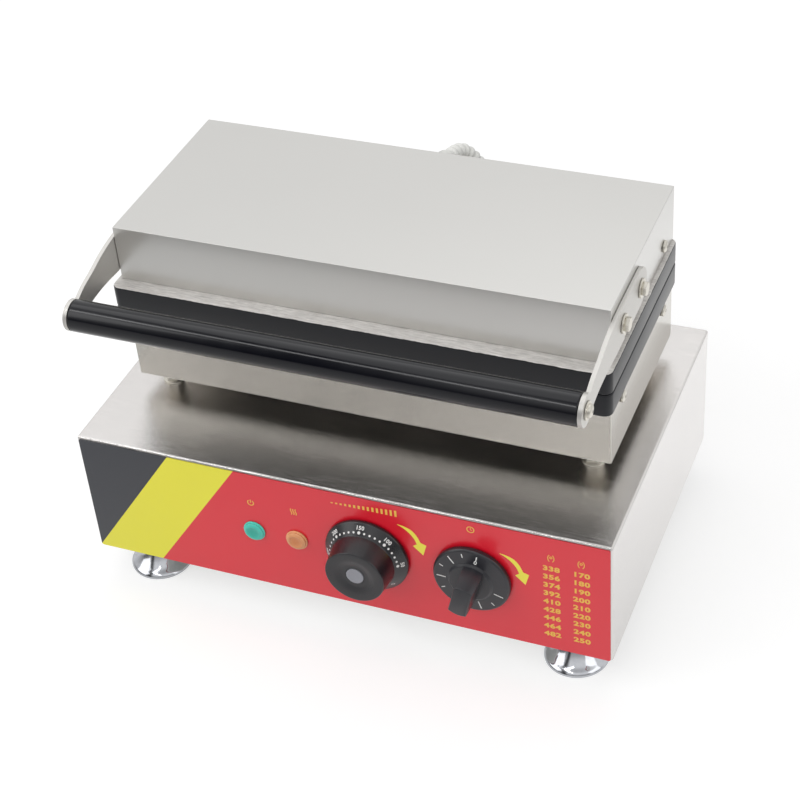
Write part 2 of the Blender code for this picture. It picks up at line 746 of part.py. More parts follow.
def build_overlay():
    width = BASE_WIDTH - 2 * OVERLAY_SIDE_MARGIN
    height = BASE_HEIGHT - OVERLAY_TOP_MARGIN - OVERLAY_BOTTOM_MARGIN
    centre = (0, panel_y + OVERLAY_THICKNESS / 2, FOOT_HEIGHT + OVERLAY_BOTTOM_MARGIN + height / 2)
    film = boxes_mesh("front_overlay", [((width, OVERLAY_THICKNESS, height), (0, 0, 0))])
    overlay = place(film, "front_overlay", centre)
    holes = front_holes(panel_y, 2 * (OVERLAY_THICKNESS + OVERRUN))
    cut(overlay, cylinders_mesh("overlay_holes", holes), "overlay_holes")
    finish(overlay, "red_film")


# Pillars with hex collars
def build_pillars():
    housing_under = lower_bottom - GAP
    collar_top = housing_under - PILLAR_WASHER_HEIGHT
    stud_top = lower_bottom + HOUSING_SHEET + PILLAR_THREAD
    stud_low = deck_z - BASE_SHEET - PILLAR_THREAD
    profile = [
        (0, stud_top), (PILLAR_RADIUS, stud_top), (PILLAR_RADIUS, housing_under),
        (PILLAR_WASHER_RADIUS, housing_under), (PILLAR_WASHER_RADIUS, collar_top),
        (PILLAR_RADIUS, collar_top), (PILLAR_RADIUS, stud_low), (0, stud_low),
    ]
    hex_centre = collar_top - PILLAR_COLLAR_HEIGHT / 2 + PILLAR_WASHER_HEIGHT / 2
    hex_height = PILLAR_COLLAR_HEIGHT + PILLAR_WASHER_HEIGHT / 2
    for name, (x, y) in pillar_places().items():
        pillar = turned("pillar_" + name, profile, (x, y, 0), sides=NUT_ROUND)
        collar = [(PILLAR_COLLAR_RADIUS, hex_height, (x, y, hex_centre), "Z", 6)]
        join(pillar, cylinders_mesh("collar_" + name, collar), "collar_" + name)
        finish(pillar, "zinc")


# Housings
def side_holes(places, radius):
    """Holes through both side walls at (y, z) places."""
    length = 2 * (HOUSING_SHEET + OVERRUN)
    return [
        (radius, length, (side * housing_half, y, z), "X", TINY_ROUND)
        for side in (-1, 1) for y, z in places
    ]


def build_lower_housing():
    size = (housing_width, HOUSING_DEPTH, LOWER_HOUSING_HEIGHT)
    centre = (0, housing_mid, lower_bottom + LOWER_HOUSING_HEIGHT / 2)
    tray = place(folded_box("lower_housing", size, 1), "lower_housing", centre)
    sheet(tray, HOUSING_SHEET, HOUSING_FOLD, 2)
    low = lower_bottom + HOUSING_SHEET / 2
    high = lower_bottom + HOUSING_SHEET + NUT_BOSS_HEIGHT
    bosses = [
        (NUT_BOSS_RADIUS, high - low, (x, y, (high + low) / 2), "Z", NUT_ROUND)
        for x, y in pillar_places().values()
    ]
    join(tray, cylinders_mesh("tray_nuts", bosses), "tray_nuts")
    deep = 2 * (NUT_BOSS_HEIGHT + HOUSING_SHEET + OVERRUN)
    holes = [
        (PILLAR_RADIUS + GAP, deep, (x, y, lower_bottom), "Z", NUT_ROUND)
        for x, y in pillar_places().values()
    ]
    thin = 2 * (HOUSING_SHEET + OVERRUN)
    holes.append((CAPILLARY_HOLE_RADIUS, thin, (cap_x, cap_y, lower_bottom), "Z", TINY_ROUND))
    screws = [(y, lower_screw_z) for y in screw_ys]
    holes += side_holes(screws, PLATE_SCREW_RADIUS + GAP)
    cut(tray, cylinders_mesh("tray_holes", holes), "tray_holes")
    finish(tray, "steel")


def bolt_ys():
    return (arm_bolt_y - ARM_BOLT_PITCH, arm_bolt_y)


def build_upper_housing(lid):
    size = (housing_width, HOUSING_DEPTH, UPPER_HOUSING_HEIGHT)
    centre = (0, housing_mid, lid_bottom + UPPER_HOUSING_HEIGHT / 2)
    cover = place(folded_box("upper_housing", size, -1), "upper_housing", centre, parent=lid)
    sheet(cover, HOUSING_SHEET, HOUSING_FOLD, 2)
    holes = side_holes([(y, upper_screw_z) for y in screw_ys], PLATE_SCREW_RADIUS + GAP)
    holes += side_holes([(y, arm_bolt_z) for y in bolt_ys()], ARM_BOLT_RADIUS + GAP)
    thin = 2 * (HOUSING_SHEET + OVERRUN)
    gland = (CONDUIT_LID_X, housing_back, conduit_lid_z)
    holes.append((CONDUIT_GLAND_THREAD_RADIUS + GAP, thin, gland, "Y", SMALL_ROUND))
    cut(cover, cylinders_mesh("cover_holes", holes), "cover_holes")
    finish(cover, "steel")


# Cast plates
def pocket_places():
    """Pocket centres in staggered rows, as many as the recess holds."""
    room_x = plate_width - 2 * (RECESS_RIM + POCKET_EDGE + POCKET_RADIUS)
    room_y = plate_depth - 2 * (RECESS_RIM + POCKET_EDGE + POCKET_RADIUS)
    rows = int(room_y / POCKET_ROW_PITCH) + 1
    columns = int(room_x / POCKET_PITCH) + 1
    places = []
    for row in range(rows):
        count = columns - row % 2
        y = plate_mid + (row - (rows - 1) / 2) * POCKET_ROW_PITCH
        for i in range(count):
            places.append(((i - (count - 1) / 2) * POCKET_PITCH, y))
    return places


def pockets_mesh(name, centre_z):
    radius = (POCKET_RADIUS ** 2 + POCKET_DEPTH ** 2) / (2 * POCKET_DEPTH)
    bm = bmesh.new()
    for x, y in pocket_places():
        bmesh.ops.create_uvsphere(
            bm, u_segments=POCKET_SIDES, v_segments=POCKET_RINGS, radius=radius,
            matrix=Matrix.Translation((x, y, centre_z)),
        )
    return mesh_from(bm, name)


def chamfered_box(name, size, corner):
    bm = bmesh.new()
    add_box(bm, size)
    upright = [e for e in bm.edges if abs((e.verts[0].co - e.verts[1].co).z) > size[2] / 2]
    bmesh.ops.bevel(bm, geom=upright, offset=corner, segments=2, profile=0.5, affect="EDGES")
    return mesh_from(bm, name)


def build_plate(name, low, high, face, lugs, holes, parent=None):
    """A cast plate between two levels; face is 1 where its mould looks up, or -1."""
    centre = (0, plate_mid, (low + high) / 2)
    size = (plate_width, plate_depth, high - low)
    plate = place(chamfered_box(name, size, PLATE_CORNER), name, centre, parent=parent)
    round_edges(plate, PLATE_EDGE, 2, math.radians(60))
    join(plate, boxes_mesh(name + "_lugs", lugs), name + "_lugs")
    cut(plate, cylinders_mesh(name + "_lug_holes", holes), name + "_lug_holes")
    seam = high if face > 0 else low
    floor = seam - face * RECESS_DEPTH
    depth = RECESS_DEPTH + OVERRUN
    recess_size = (plate_width - 2 * RECESS_RIM, plate_depth - 2 * RECESS_RIM, depth)
    recess = chamfered_box(name + "_recess", recess_size, RECESS_CORNER)
    recess.transform(Matrix.Translation((0, plate_mid, floor + face * depth / 2)))
    cut(plate, recess, name + "_recess")
    radius = (POCKET_RADIUS ** 2 + POCKET_DEPTH ** 2) / (2 * POCKET_DEPTH)
    cut(plate, pockets_mesh(name + "_pockets", floor + face * (radius - POCKET_DEPTH)), name + "_pockets")
    finish(plate, "cast")


def lug_box(y_low, y_high, z_low, z_high, side):
    x = side * (inner_half - GAP - LUG_THICKNESS / 2)
    size = (LUG_THICKNESS, y_high - y_low, z_high - z_low)
    return (size, (x, (y_low + y_high) / 2, (z_low + z_high) / 2))


def lug_hole(y, z, radius, side):
    x = side * (inner_half - GAP - LUG_THICKNESS / 2)
    return (radius, LUG_THICKNESS + 2 * OVERRUN, (x, y, z), "X", TINY_ROUND)


def build_plates(lid):
    sink = LOWER_PLATE_HEIGHT / 4
    half = LUG_WIDTH / 2
    lugs = []
    holes = []
    for side in (-1, 1):
        for y in screw_ys:
            bottom = lower_screw_z - LUG_BELOW_SCREW
            lugs.append(lug_box(y - half, y + half, bottom, lower_plate_bottom + sink, side))
            holes.append(lug_hole(y, lower_screw_z, PLATE_SCREW_RADIUS + GAP, side))
    build_plate("lower_plate", lower_plate_bottom, seam_low, 1, lugs, holes)

    sink = UPPER_PLATE_HEIGHT / 4
    front_bolt, rear_bolt = bolt_ys()
    lugs = []
    holes = []
    for side in (-1, 1):
        rear = screw_ys[1]
        top = upper_screw_z + LUG_BELOW_SCREW
        lugs.append(lug_box(rear - half, rear + half, upper_plate_top - sink, top, side))
        start = min(front_bolt, screw_ys[0]) - half
        end = max(rear_bolt, screw_ys[0]) + half
        top = arm_bolt_z + LUG_BELOW_SCREW
        lugs.append(lug_box(start, end, upper_plate_top - sink, top, side))
        holes += [lug_hole(y, upper_screw_z, PLATE_SCREW_RADIUS + GAP, side) for y in screw_ys]
        holes += [lug_hole(y, arm_bolt_z, ARM_BOLT_RADIUS + GAP, side) for y in bolt_ys()]
    build_plate("upper_plate", seam_high, upper_plate_top, -1, lugs, holes, lid)


# Heaters, insulation and the thermostat's bulb
def heater_points(z):
    """A snake of straight runs and half turns, with thin pins at both ends."""
    bend = HEATER_RUN_PITCH / 2
    run = inner_half - HEATER_END_MARGIN - bend
    points = []
    side = 1
    for i in range(HEATER_RUNS):
        y = housing_mid + (i - (HEATER_RUNS - 1) / 2) * HEATER_RUN_PITCH
        points += [Vector((-side * run, y, z)), Vector((side * run, y, z))]
        if i < HEATER_RUNS - 1:
            for k in range(1, HEATER_BEND_STEPS):
                a = -math.pi / 2 + math.pi * k / HEATER_BEND_STEPS
                points.append(
                    Vector((side * (run + bend * math.cos(a)), y + bend + bend * math.sin(a), z))
                )
        side = -side
    return points


def build_heater(name, z, parent=None):
    points = heater_points(z)
    step = Vector((HEATER_RADIUS / 8, 0, 0))
    pin = Vector((HEATER_PIN_LENGTH, 0, 0))
    last_side = 1 if HEATER_RUNS % 2 else -1
    points = [points[0] - step - pin, points[0] - step, *points]
    points += [points[-1] + last_side * step, points[-1] + last_side * (step + pin)]
    shares = [HEATER_PIN_SHARE] * 2 + [1.0] * (len(points) - 4) + [HEATER_PIN_SHARE] * 2
    finish(tube(name, points, HEATER_RADIUS, shares, parent=parent), "element")


def build_insulation(name, low, high, hole, parent=None):
    half_width = inner_half - LUG_THICKNESS - 3 * GAP
    size = (2 * half_width, HOUSING_DEPTH - 2 * PAD_END_MARGIN, high - low)
    centre = (0, housing_mid, (low + high) / 2)
    pad = place(boxes_mesh(name, [(size, (0, 0, 0))]), name, centre, parent=parent)
    if hole:
        length = 2 * (high - low + OVERRUN)
        bore = [(CAPILLARY_HOLE_RADIUS, length, (cap_x, cap_y, low), "Z", TINY_ROUND)]
        cut(pad, cylinders_mesh(name + "_hole", bore), name + "_hole")
    finish(pad, "fibre")


def build_capillary():
    z = lower_plate_bottom - GAP - BULB_RADIUS
    body_back = base_front + BASE_SHEET + GAP + THERMOSTAT_BODY[1]
    step = CAPILLARY_RADIUS / 2
    bulb_end = THERMOSTAT_X + BULB_LENGTH / 2
    corners = [
        (bulb_end + step, cap_y, z), (cap_x, cap_y, z), (cap_x, cap_y, dial_z),
        (THERMOSTAT_X, body_back + 4 * CAPILLARY_BEND, dial_z), (THERMOSTAT_X, body_back + GAP, dial_z),
    ]
    route = rounded_route(corners, CAPILLARY_BEND)
    points = [Vector((THERMOSTAT_X - BULB_LENGTH / 2, cap_y, z)), Vector((bulb_end, cap_y, z)), *route]
    shares = [1.0, 1.0] + [CAPILLARY_RADIUS / BULB_RADIUS] * len(route)
    finish(tube("thermostat_capillary", points, BULB_RADIUS, shares), "copper")


# Hinge: fixed ears, moving leaves and one long rod
def outline_circle(radius, sides):
    return arc((0, 0), radius, 0, 2 * math.pi * (sides - 1) / sides, sides - 1)


def build_hinge(lid):
    web_back = -(HINGE_SETBACK - GAP - HINGE_SHEET)
    web_low = lower_bottom + HINGE_EDGE_MARGIN - pin_z
    web_top = -HINGE_WEB_DROP
    weld = HINGE_SHEET / 2
    ear = [
        (web_back - weld, web_top - weld), *arc((0, 0), HINGE_KNUCKLE, *EAR_ARC, EAR_STEPS),
        (web_back + HINGE_SHEET, web_low + weld), (web_back - weld, web_low + weld),
    ]
    hole = outline_circle(HINGE_ROD_RADIUS + GAP, SMALL_ROUND)
    open_corner = (web_back + GAP, -HINGE_STOP_DROP)
    c = math.cos(OPEN_ANGLE)
    s = math.sin(OPEN_ANGLE)
    heel = (open_corner[0] * c - open_corner[1] * s, open_corner[0] * s + open_corner[1] * c)
    lid_back = -HINGE_SETBACK + GAP
    leaf_low = lid_bottom + HINGE_EDGE_MARGIN / 2 - pin_z
    leaf_top = lid_top - HINGE_EDGE_MARGIN - pin_z
    tongue = [
        (lid_back + weld, leaf_top - weld), (lid_back + 2 * HINGE_SHEET, leaf_top - weld),
        *arc((0, 0), HINGE_KNUCKLE, *TONGUE_BACK_ARC, 2), heel,
        *arc((0, 0), HINGE_KNUCKLE, *TONGUE_FRONT_ARC, 5), (lid_back + weld, leaf_low + weld),
    ]
    for side, label in ((-1, "left"), (1, "right")):
        x = side * HINGE_X
        height = web_top - web_low
        web_size = (HINGE_PLATE_WIDTH, HINGE_SHEET, height)
        web_centre = (x, pin_y + web_back - HINGE_SHEET / 2, pin_z + web_low + height / 2)
        bracket = place(
            boxes_mesh("hinge_bracket_" + label, [(web_size, (0, 0, 0))]),
            "hinge_bracket_" + label, web_centre,
        )
        ear_offset = HINGE_LEAF_THICKNESS / 2 + GAP + HINGE_SHEET / 2
        for k in (-1, 1):
            name = "ear_%s_%d" % (label, k)
            shape = outline(name, [ear, hole], HINGE_SHEET, (x + k * ear_offset, pin_y, pin_z), home=cutters)
            shape.hide_render = True
            shape.display_type = "WIRE"
            combine(bracket, shape, "UNION")
        finish(bracket, "steel")

        height = leaf_top - leaf_low
        leaf_size = (HINGE_PLATE_WIDTH, HINGE_SHEET, height)
        leaf_centre = (x, pin_y + lid_back + HINGE_SHEET / 2, pin_z + leaf_low + height / 2)
        leaf = outline(
            "hinge_leaf_" + label, [tongue, hole], HINGE_LEAF_THICKNESS, (x, pin_y, pin_z), parent=lid
        )
        pad_name = "leaf_plate_" + label
        pad = guide(boxes_mesh(pad_name, [(leaf_size, leaf_centre)]), pad_name, lid)
        combine(leaf, pad, "UNION")
        finish(leaf, "steel")

    reach = HINGE_X + HINGE_ROD_REACH
    head = HINGE_ROD_HEAD
    profile = [
        (0, reach + head), (HINGE_ROD_HEAD_RADIUS, reach + head), (HINGE_ROD_HEAD_RADIUS, reach),
        (HINGE_ROD_RADIUS, reach), (HINGE_ROD_RADIUS, -reach), (HINGE_ROD_HEAD_RADIUS, -reach),
        (HINGE_ROD_HEAD_RADIUS, -reach - head), (0, -reach - head),
    ]
    finish(turned("hinge_rod", profile, (0, pin_y, pin_z), FACE_RIGHT, sides=SMALL_ROUND), "zinc")


# Arms, handle and every side fastener
def arm_outline():
    """The arm's edge about the handle's axis: round front end, narrow neck, broad round rear."""
    height = ARM_RISE + ARM_REAR_RADIUS
    rear = (ARM_REACH, ARM_RISE)
    rear_arc = arc(rear, ARM_REAR_RADIUS, math.pi / 2, -math.pi / 2, 12)
    top = [(share_x * ARM_REACH, share_y * height) for share_x, share_y in ARM_TOP_SHARES]
    neck = arc((0, 0), HANDLE_RADIUS, ARM_NECK_UNDER, ARM_NECK_TOP - 2 * math.pi, 18)
    top_line = [tuple(p) for p in smooth_points([neck[-1], *top, rear_arc[0]], 3)]
    notch_x = screw_ys[0] - handle_y
    notch_y = upper_screw_z - handle_z
    under_y = ARM_RISE - ARM_REAR_RADIUS
    tilt = math.asin((under_y - notch_y) / ARM_NOTCH_RADIUS)
    notch = arc((notch_x, notch_y), ARM_NOTCH_RADIUS, tilt, math.pi - tilt, 8)
    under = [(share_x * ARM_REACH, share_y * height) for share_x, share_y in ARM_UNDER_SHARES]
    under_line = [tuple(p) for p in smooth_points([*under, neck[0]], 3)]
    return top_line[1:-1] + rear_arc + notch + under_line[:-1] + neck


def shifted(points, x, y):
    return [(px + x, py + y) for px, py in points]


def screw_profile(head_radius, head, shaft_radius, length, washer_radius=0, washer=0):
    profile = [
        (head_radius * share_out, washer + head * share_up) for share_out, share_up in SCREW_HEAD_SHARES
    ]
    profile.append((head_radius, washer))
    if washer:
        profile += [(washer_radius, washer), (washer_radius, 0)]
    return profile + [(shaft_radius, 0), (shaft_radius, -length), (0, -length)]


def side_screw(name, profile, side, x, y, z, parent=None):
    """A turned fastener whose head looks outwards on one side of the machine."""
    rotation = FACE_RIGHT if side > 0 else FACE_LEFT
    obj = turned(name, profile, (side * x, y, z), rotation, parent, sides=TINY_ROUND)
    finish(obj, "zinc")


def build_arms(lid):
    arm_x = housing_half + GAP + ARM_THICKNESS / 2
    bolt_hole = outline_circle(ARM_BOLT_RADIUS + GAP, TINY_ROUND)
    screw_hole = outline_circle(HANDLE_SCREW_RADIUS + GAP, TINY_ROUND)
    loops = [
        arm_outline(), screw_hole, shifted(bolt_hole, ARM_REACH, ARM_RISE),
        shifted(bolt_hole, ARM_REACH - ARM_BOLT_PITCH, ARM_RISE),
    ]
    length = SCREW_BITE + HOUSING_SHEET + GAP + ARM_THICKNESS + 2 * GAP
    bolt = screw_profile(
        ARM_BOLT_HEAD_RADIUS, ARM_BOLT_HEAD, ARM_BOLT_RADIUS, length, ARM_WASHER_RADIUS, ARM_WASHER
    )
    handle_screw = screw_profile(
        HANDLE_SCREW_HEAD_RADIUS, HANDLE_SCREW_HEAD, HANDLE_SCREW_RADIUS,
        HANDLE_SCREW_LENGTH + ARM_THICKNESS + GAP, HANDLE_SCREW_WASHER_RADIUS, HANDLE_SCREW_WASHER,
    )
    head_x = housing_half + 2 * GAP + ARM_THICKNESS
    number = 1
    for side, label in ((-1, "left"), (1, "right")):
        arm = outline(
            "arm_" + label, loops, ARM_THICKNESS, (side * arm_x, handle_y, handle_z), parent=lid
        )
        finish(arm, "steel")
        for y in bolt_ys():
            side_screw("arm_bolt_%d" % number, bolt, side, head_x, y, arm_bolt_z, lid)
            number += 1
        side_screw("handle_screw_" + label, handle_screw, side, head_x, handle_y, handle_z, lid)


def build_handle(lid):
    half = housing_half
    outer = HANDLE_RADIUS
    inner = HANDLE_CORE_RADIUS + GAP
    edge = HANDLE_EDGE
    grip = [
        (inner, half), (outer - edge, half), (outer, half - edge), (outer, -half + edge),
        (outer - edge, -half), (inner, -half),
    ]
    place_at = (0, handle_y, handle_z)
    grip = turned("handle_grip", grip, place_at, FACE_RIGHT, lid, sides=SMALL_ROUND + 4, closed=True)
    finish(grip, "black_grip")
    bore = HANDLE_SCREW_RADIUS + GAP
    depth = HANDLE_SCREW_LENGTH + GAP
    core = [
        (0, half - depth), (bore, half - depth), (bore, half), (HANDLE_CORE_RADIUS, half),
        (HANDLE_CORE_RADIUS, -half), (bore, -half), (bore, -half + depth), (0, -half + depth),
    ]
    finish(turned("handle_core", core, place_at, FACE_RIGHT, lid, sides=SMALL_ROUND), "steel")


def build_plate_screws(lid):
    length = SCREW_BITE + HOUSING_SHEET + GAP
    profile = screw_profile(PLATE_SCREW_HEAD_RADIUS, PLATE_SCREW_HEAD, PLATE_SCREW_RADIUS, length)
    x = housing_half + GAP
    number = 1
    for side in (-1, 1):
        for y in screw_ys:
            side_screw("lower_plate_screw_%d" % number, profile, side, x, y, lower_screw_z)
            side_screw("upper_plate_screw_%d" % number, profile, side, x, y, upper_screw_z, lid)
            number += 1


# Lamps, thermostat and timer
def build_lamp(name, x, lens_finish):
    sheet_back = OVERLAY_THICKNESS + GAP + BASE_SHEET
    body = [
        (0, 0), (LAMP_BODY_RADIUS, 0), (LAMP_BODY_RADIUS, -sheet_back - GAP),
        (LAMP_NUT_RADIUS, -sheet_back - GAP), (LAMP_NUT_RADIUS, -sheet_back - GAP - LAMP_NUT),
        (LAMP_BODY_RADIUS, -sheet_back - GAP - LAMP_NUT), (LAMP_BODY_RADIUS, -LAMP_BODY_LENGTH),
        (0, -LAMP_BODY_LENGTH),
    ]
    lens = [
        (0, LAMP_LENS_HEIGHT), (LAMP_LENS_RADIUS - LAMP_EDGE, LAMP_LENS_HEIGHT),
        (LAMP_LENS_RADIUS, LAMP_LENS_HEIGHT - LAMP_EDGE), (LAMP_LENS_RADIUS, LAMP_FLANGE + GAP),
        (LAMP_RADIUS, LAMP_FLANGE + GAP), (LAMP_RADIUS, GAP), (0, GAP),
    ]
    at = (x, panel_y, lamp_z)
    finish(turned(name + "_body", body, at, FACE_FRONT, sides=SMALL_ROUND), "clear_plastic")
    finish(turned(name + "_lens", lens, at, FACE_FRONT, sides=SMALL_ROUND), lens_finish)


def build_control(name, x, size):
    """A control's body behind the panel, with its bush through the panel and a bore for the shaft."""
    centre = (x, base_front + BASE_SHEET + GAP + size[1] / 2, dial_z)
    body = place(boxes_mesh(name, [(size, (0, 0, 0))]), name, centre)
    front = panel_y - BUSH_PROUD
    back = centre[1] - size[1] / 2 + OVERRUN
    bush = [(BUSH_RADIUS, back - front, (x, (front + back) / 2, dial_z), "Y", SMALL_ROUND)]
    join(body, cylinders_mesh(name + "_bush", bush), name + "_bush")
    depth = SHAFT_IN_BUSH + GAP
    bore = [(SHAFT_RADIUS + GAP, 2 * depth, (x, front, dial_z), "Y", SMALL_ROUND)]
    cut(body, cylinders_mesh(name + "_bore", bore), name + "_bore")
    finish(body, "black_plastic")


def build_shaft(name, x, bore_end, parent):
    low = BUSH_PROUD - SHAFT_IN_BUSH
    high = bore_end - GAP
    profile = [(0, high), (SHAFT_RADIUS, high), (SHAFT_RADIUS, low), (0, low)]
    at = (x, panel_y, dial_z)
    finish(turned(name, profile, at, FACE_FRONT, parent, sides=SMALL_ROUND), "zinc")


def build_thermostat_knob(dial):
    back = DIAL_GAP
    bore = SHAFT_RADIUS + GAP
    bore_end = back + KNOB_BORE_DEPTH
    top = back + THERMOSTAT_CAP_HEIGHT
    dish = top - THERMOSTAT_DISH_DEPTH
    seat = dish - THERMOSTAT_DISC_HEIGHT
    seat_radius = THERMOSTAT_DISC_RADIUS + GAP
    rim = THERMOSTAT_SKIRT_RADIUS
    profile = [
        (0, seat), (seat_radius, seat), (seat_radius, dish), (THERMOSTAT_DISH_RADIUS, dish),
        (THERMOSTAT_DISH_RADIUS + 2 * THERMOSTAT_DISH_DEPTH, top),
        (THERMOSTAT_CAP_RADIUS - THERMOSTAT_CAP_EDGE, top),
        (THERMOSTAT_CAP_RADIUS, top - THERMOSTAT_CAP_EDGE),
        (THERMOSTAT_CAP_BASE_RADIUS, back + THERMOSTAT_SKIRT_HEIGHT),
        (rim, back + THERMOSTAT_SKIRT_EDGE), (rim, back), (bore, back), (bore, bore_end),
        (0, bore_end),
    ]
    at = (THERMOSTAT_X, panel_y, dial_z)
    finish(turned("thermostat_knob", profile, at, FACE_FRONT, dial, sides=ROUND), "black_plastic")
    disc = [
        (0, dish + GAP), (THERMOSTAT_DISC_RADIUS, dish + GAP), (THERMOSTAT_DISC_RADIUS, seat + GAP),
        (0, seat + GAP),
    ]
    finish(turned("thermostat_knob_cap", disc, at, FACE_FRONT, dial, sides=SMALL_ROUND), "silver_disc")
    build_shaft("thermostat_shaft", THERMOSTAT_X, bore_end, dial)


def build_timer_knob(dial):
    back = DIAL_GAP
    bore_end = back + KNOB_BORE_DEPTH
    face = back + TIMER_DISC_HEIGHT
    boss_top = face + TIMER_BOSS_HEIGHT
    profile = [
        (0, boss_top), (TIMER_BOSS_RADIUS - TIMER_BOSS_HEIGHT, boss_top), (TIMER_BOSS_RADIUS, face),
        (TIMER_DISC_RADIUS - TIMER_DISC_EDGE, face - TIMER_DISC_EDGE / 2),
        (TIMER_DISC_RADIUS, face - 3 * TIMER_DISC_EDGE / 2), (TIMER_DISC_RADIUS, back), (0, back),
    ]
    at = (TIMER_X, panel_y, dial_z)
    knob = turned("timer_knob", profile, at, FACE_FRONT, dial, sides=ROUND)
    low = back + TIMER_DISC_HEIGHT / 2
    height = TIMER_GRIP_HEIGHT - TIMER_DISC_HEIGHT / 2
    bm = bmesh.new()
    add_box(bm, (TIMER_GRIP_BASE_WIDTH, TIMER_GRIP_BASE_LENGTH, height), (0, 0, low + height / 2))
    for vert in bm.verts:
        if vert.co.z > low + height / 2:
            vert.co.x *= TIMER_GRIP_WIDTH / TIMER_GRIP_BASE_WIDTH
            vert.co.y *= TIMER_GRIP_LENGTH / TIMER_GRIP_BASE_LENGTH
    bmesh.ops.bevel(
        bm, geom=list(bm.edges), offset=TIMER_GRIP_EDGE, segments=2, profile=0.5, affect="EDGES"
    )
    turn = Matrix.Rotation(-TIMER_GRIP_TURN, 4, "Z")
    stand = Matrix.Translation(at) @ Matrix.Rotation(math.pi / 2, 4, "X") @ turn
    bmesh.ops.transform(bm, matrix=stand, verts=bm.verts)
    join(knob, mesh_from(bm, "timer_grip"), "timer_grip")
    bore_length = bore_end - back + OVERRUN
    bore_y = panel_y - bore_end + bore_length / 2
    bore = [(SHAFT_RADIUS + GAP, bore_length, (TIMER_X, bore_y, dial_z), "Y", SMALL_ROUND)]
    cut(knob, cylinders_mesh("timer_bore", bore), "timer_bore")
    finish(knob, "black_plastic")
    build_shaft("timer_shaft", TIMER_X, bore_end, dial)


# Glands, terminals and the conduit
def build_gland(name, foot, dome, thread, bores, location, rotation, parent=None):
    """A hex foot with a dome in front and a thread behind it; bores are (radius, from, to)."""
    hex_radius, hex_height = foot
    dome_radius, dome_height, tip_radius = dome
    thread_radius, thread_length = thread
    stand = Matrix.Translation(location) @ Euler(rotation).to_matrix().to_4x4()
    mesh = cylinders_mesh(name, [(hex_radius, hex_height, (0, 0, GAP + hex_height / 2), "Z", 6)])
    body = place(mesh, name, location, rotation, parent)
    bm = bmesh.new()
    low = GAP + hex_height * (1 - GLAND_ROOT_SHARE)
    high = GAP + hex_height + dome_height
    add_cylinder(bm, dome_radius, high - low, (0, 0, (low + high) / 2), "Z", SMALL_ROUND, tip_radius)
    high = GAP + hex_height * GLAND_ROOT_SHARE
    low = -thread_length
    add_cylinder(bm, thread_radius, high - low, (0, 0, (low + high) / 2), "Z", SMALL_ROUND)
    bmesh.ops.transform(bm, matrix=stand, verts=bm.verts)
    join(body, mesh_from(bm, name + "_turned"), name + "_turned")
    for i, (radius, low, high) in enumerate(bores):
        bm = bmesh.new()
        add_cylinder(bm, radius, high - low, (0, 0, (low + high) / 2), "Z", SMALL_ROUND)
        bmesh.ops.transform(bm, matrix=stand, verts=bm.verts)
        cut(body, mesh_from(bm, "%s_bore_%d" % (name, i)), "%s_bore_%d" % (name, i))
    finish(body, "black_plastic")


def build_mains_gland():
    through = (GLAND_BORE_RADIUS, -GLAND_THREAD - OVERRUN, GAP + GLAND_HEX + GLAND_DOME + OVERRUN)
    build_gland(
        "mains_gland", (GLAND_HEX_RADIUS, GLAND_HEX), (GLAND_DOME_RADIUS, GLAND_DOME, GLAND_TIP_RADIUS),
        (GLAND_THREAD_RADIUS, GLAND_THREAD), [through], (MAINS_GLAND_X, base_back, mains_z), FACE_BACK,
    )


socket_top = GAP + CONDUIT_HEX + CONDUIT_SLEEVE
socket_floor = socket_top - CONDUIT_SOCKET


def build_conduit_gland(name, location, rotation, parent=None):
    through = (CONDUIT_GLAND_BORE, -CONDUIT_GLAND_THREAD - OVERRUN, socket_top)
    socket = (CONDUIT_RADIUS + GAP, socket_floor, socket_top + OVERRUN)
    build_gland(
        name, (CONDUIT_HEX_RADIUS, CONDUIT_HEX),
        (CONDUIT_SLEEVE_RADIUS, CONDUIT_SLEEVE, CONDUIT_SLEEVE_RADIUS),
        (CONDUIT_GLAND_THREAD_RADIUS, CONDUIT_GLAND_THREAD), [through, socket],
        location, rotation, parent,
    )


def build_conduit():
    """One ribbed conduit from the lid's gland, round behind the plates, down to the deck's gland."""
    rise = conduit_lid_z - deck_z
    start = Vector((CONDUIT_LID_X, housing_back + socket_floor + GAP, conduit_lid_z))
    end = Vector((*conduit_base, deck_z + socket_floor + GAP))
    back = Vector((0, CONDUIT_STRAIGHT, 0))
    up = Vector((0, 0, CONDUIT_STRAIGHT))
    middle = [
        Vector((
            CONDUIT_LID_X + x_share * (CONDUIT_BASE_X - CONDUIT_LID_X),
            housing_back + y_share * CONDUIT_BACK_REACH, deck_z + z_share * rise,
        ))
        for x_share, y_share, z_share in CONDUIT_ROUTE_SHARES
    ]
    line = [start, *smooth_points([start + back, *middle, end + up], 8), end]
    points = even_points(line, CONDUIT_RIB_PITCH / 2)
    groups = [1.0 if i % 2 else CONDUIT_GROOVE_SHARE for i in range(len(points))]
    conduit = tube("conduit", points, CONDUIT_RADIUS, groups)
    bore_line = [start - back, *even_points(line, 3 * CONDUIT_RIB_PITCH), end - up]
    bore = tube("conduit_bore", bore_line, CONDUIT_BORE_RADIUS, home=cutters)
    bore.hide_render = True
    bore.display_type = "WIRE"
    combine(conduit, bore, "DIFFERENCE")
    finish(conduit, "conduit_steel")


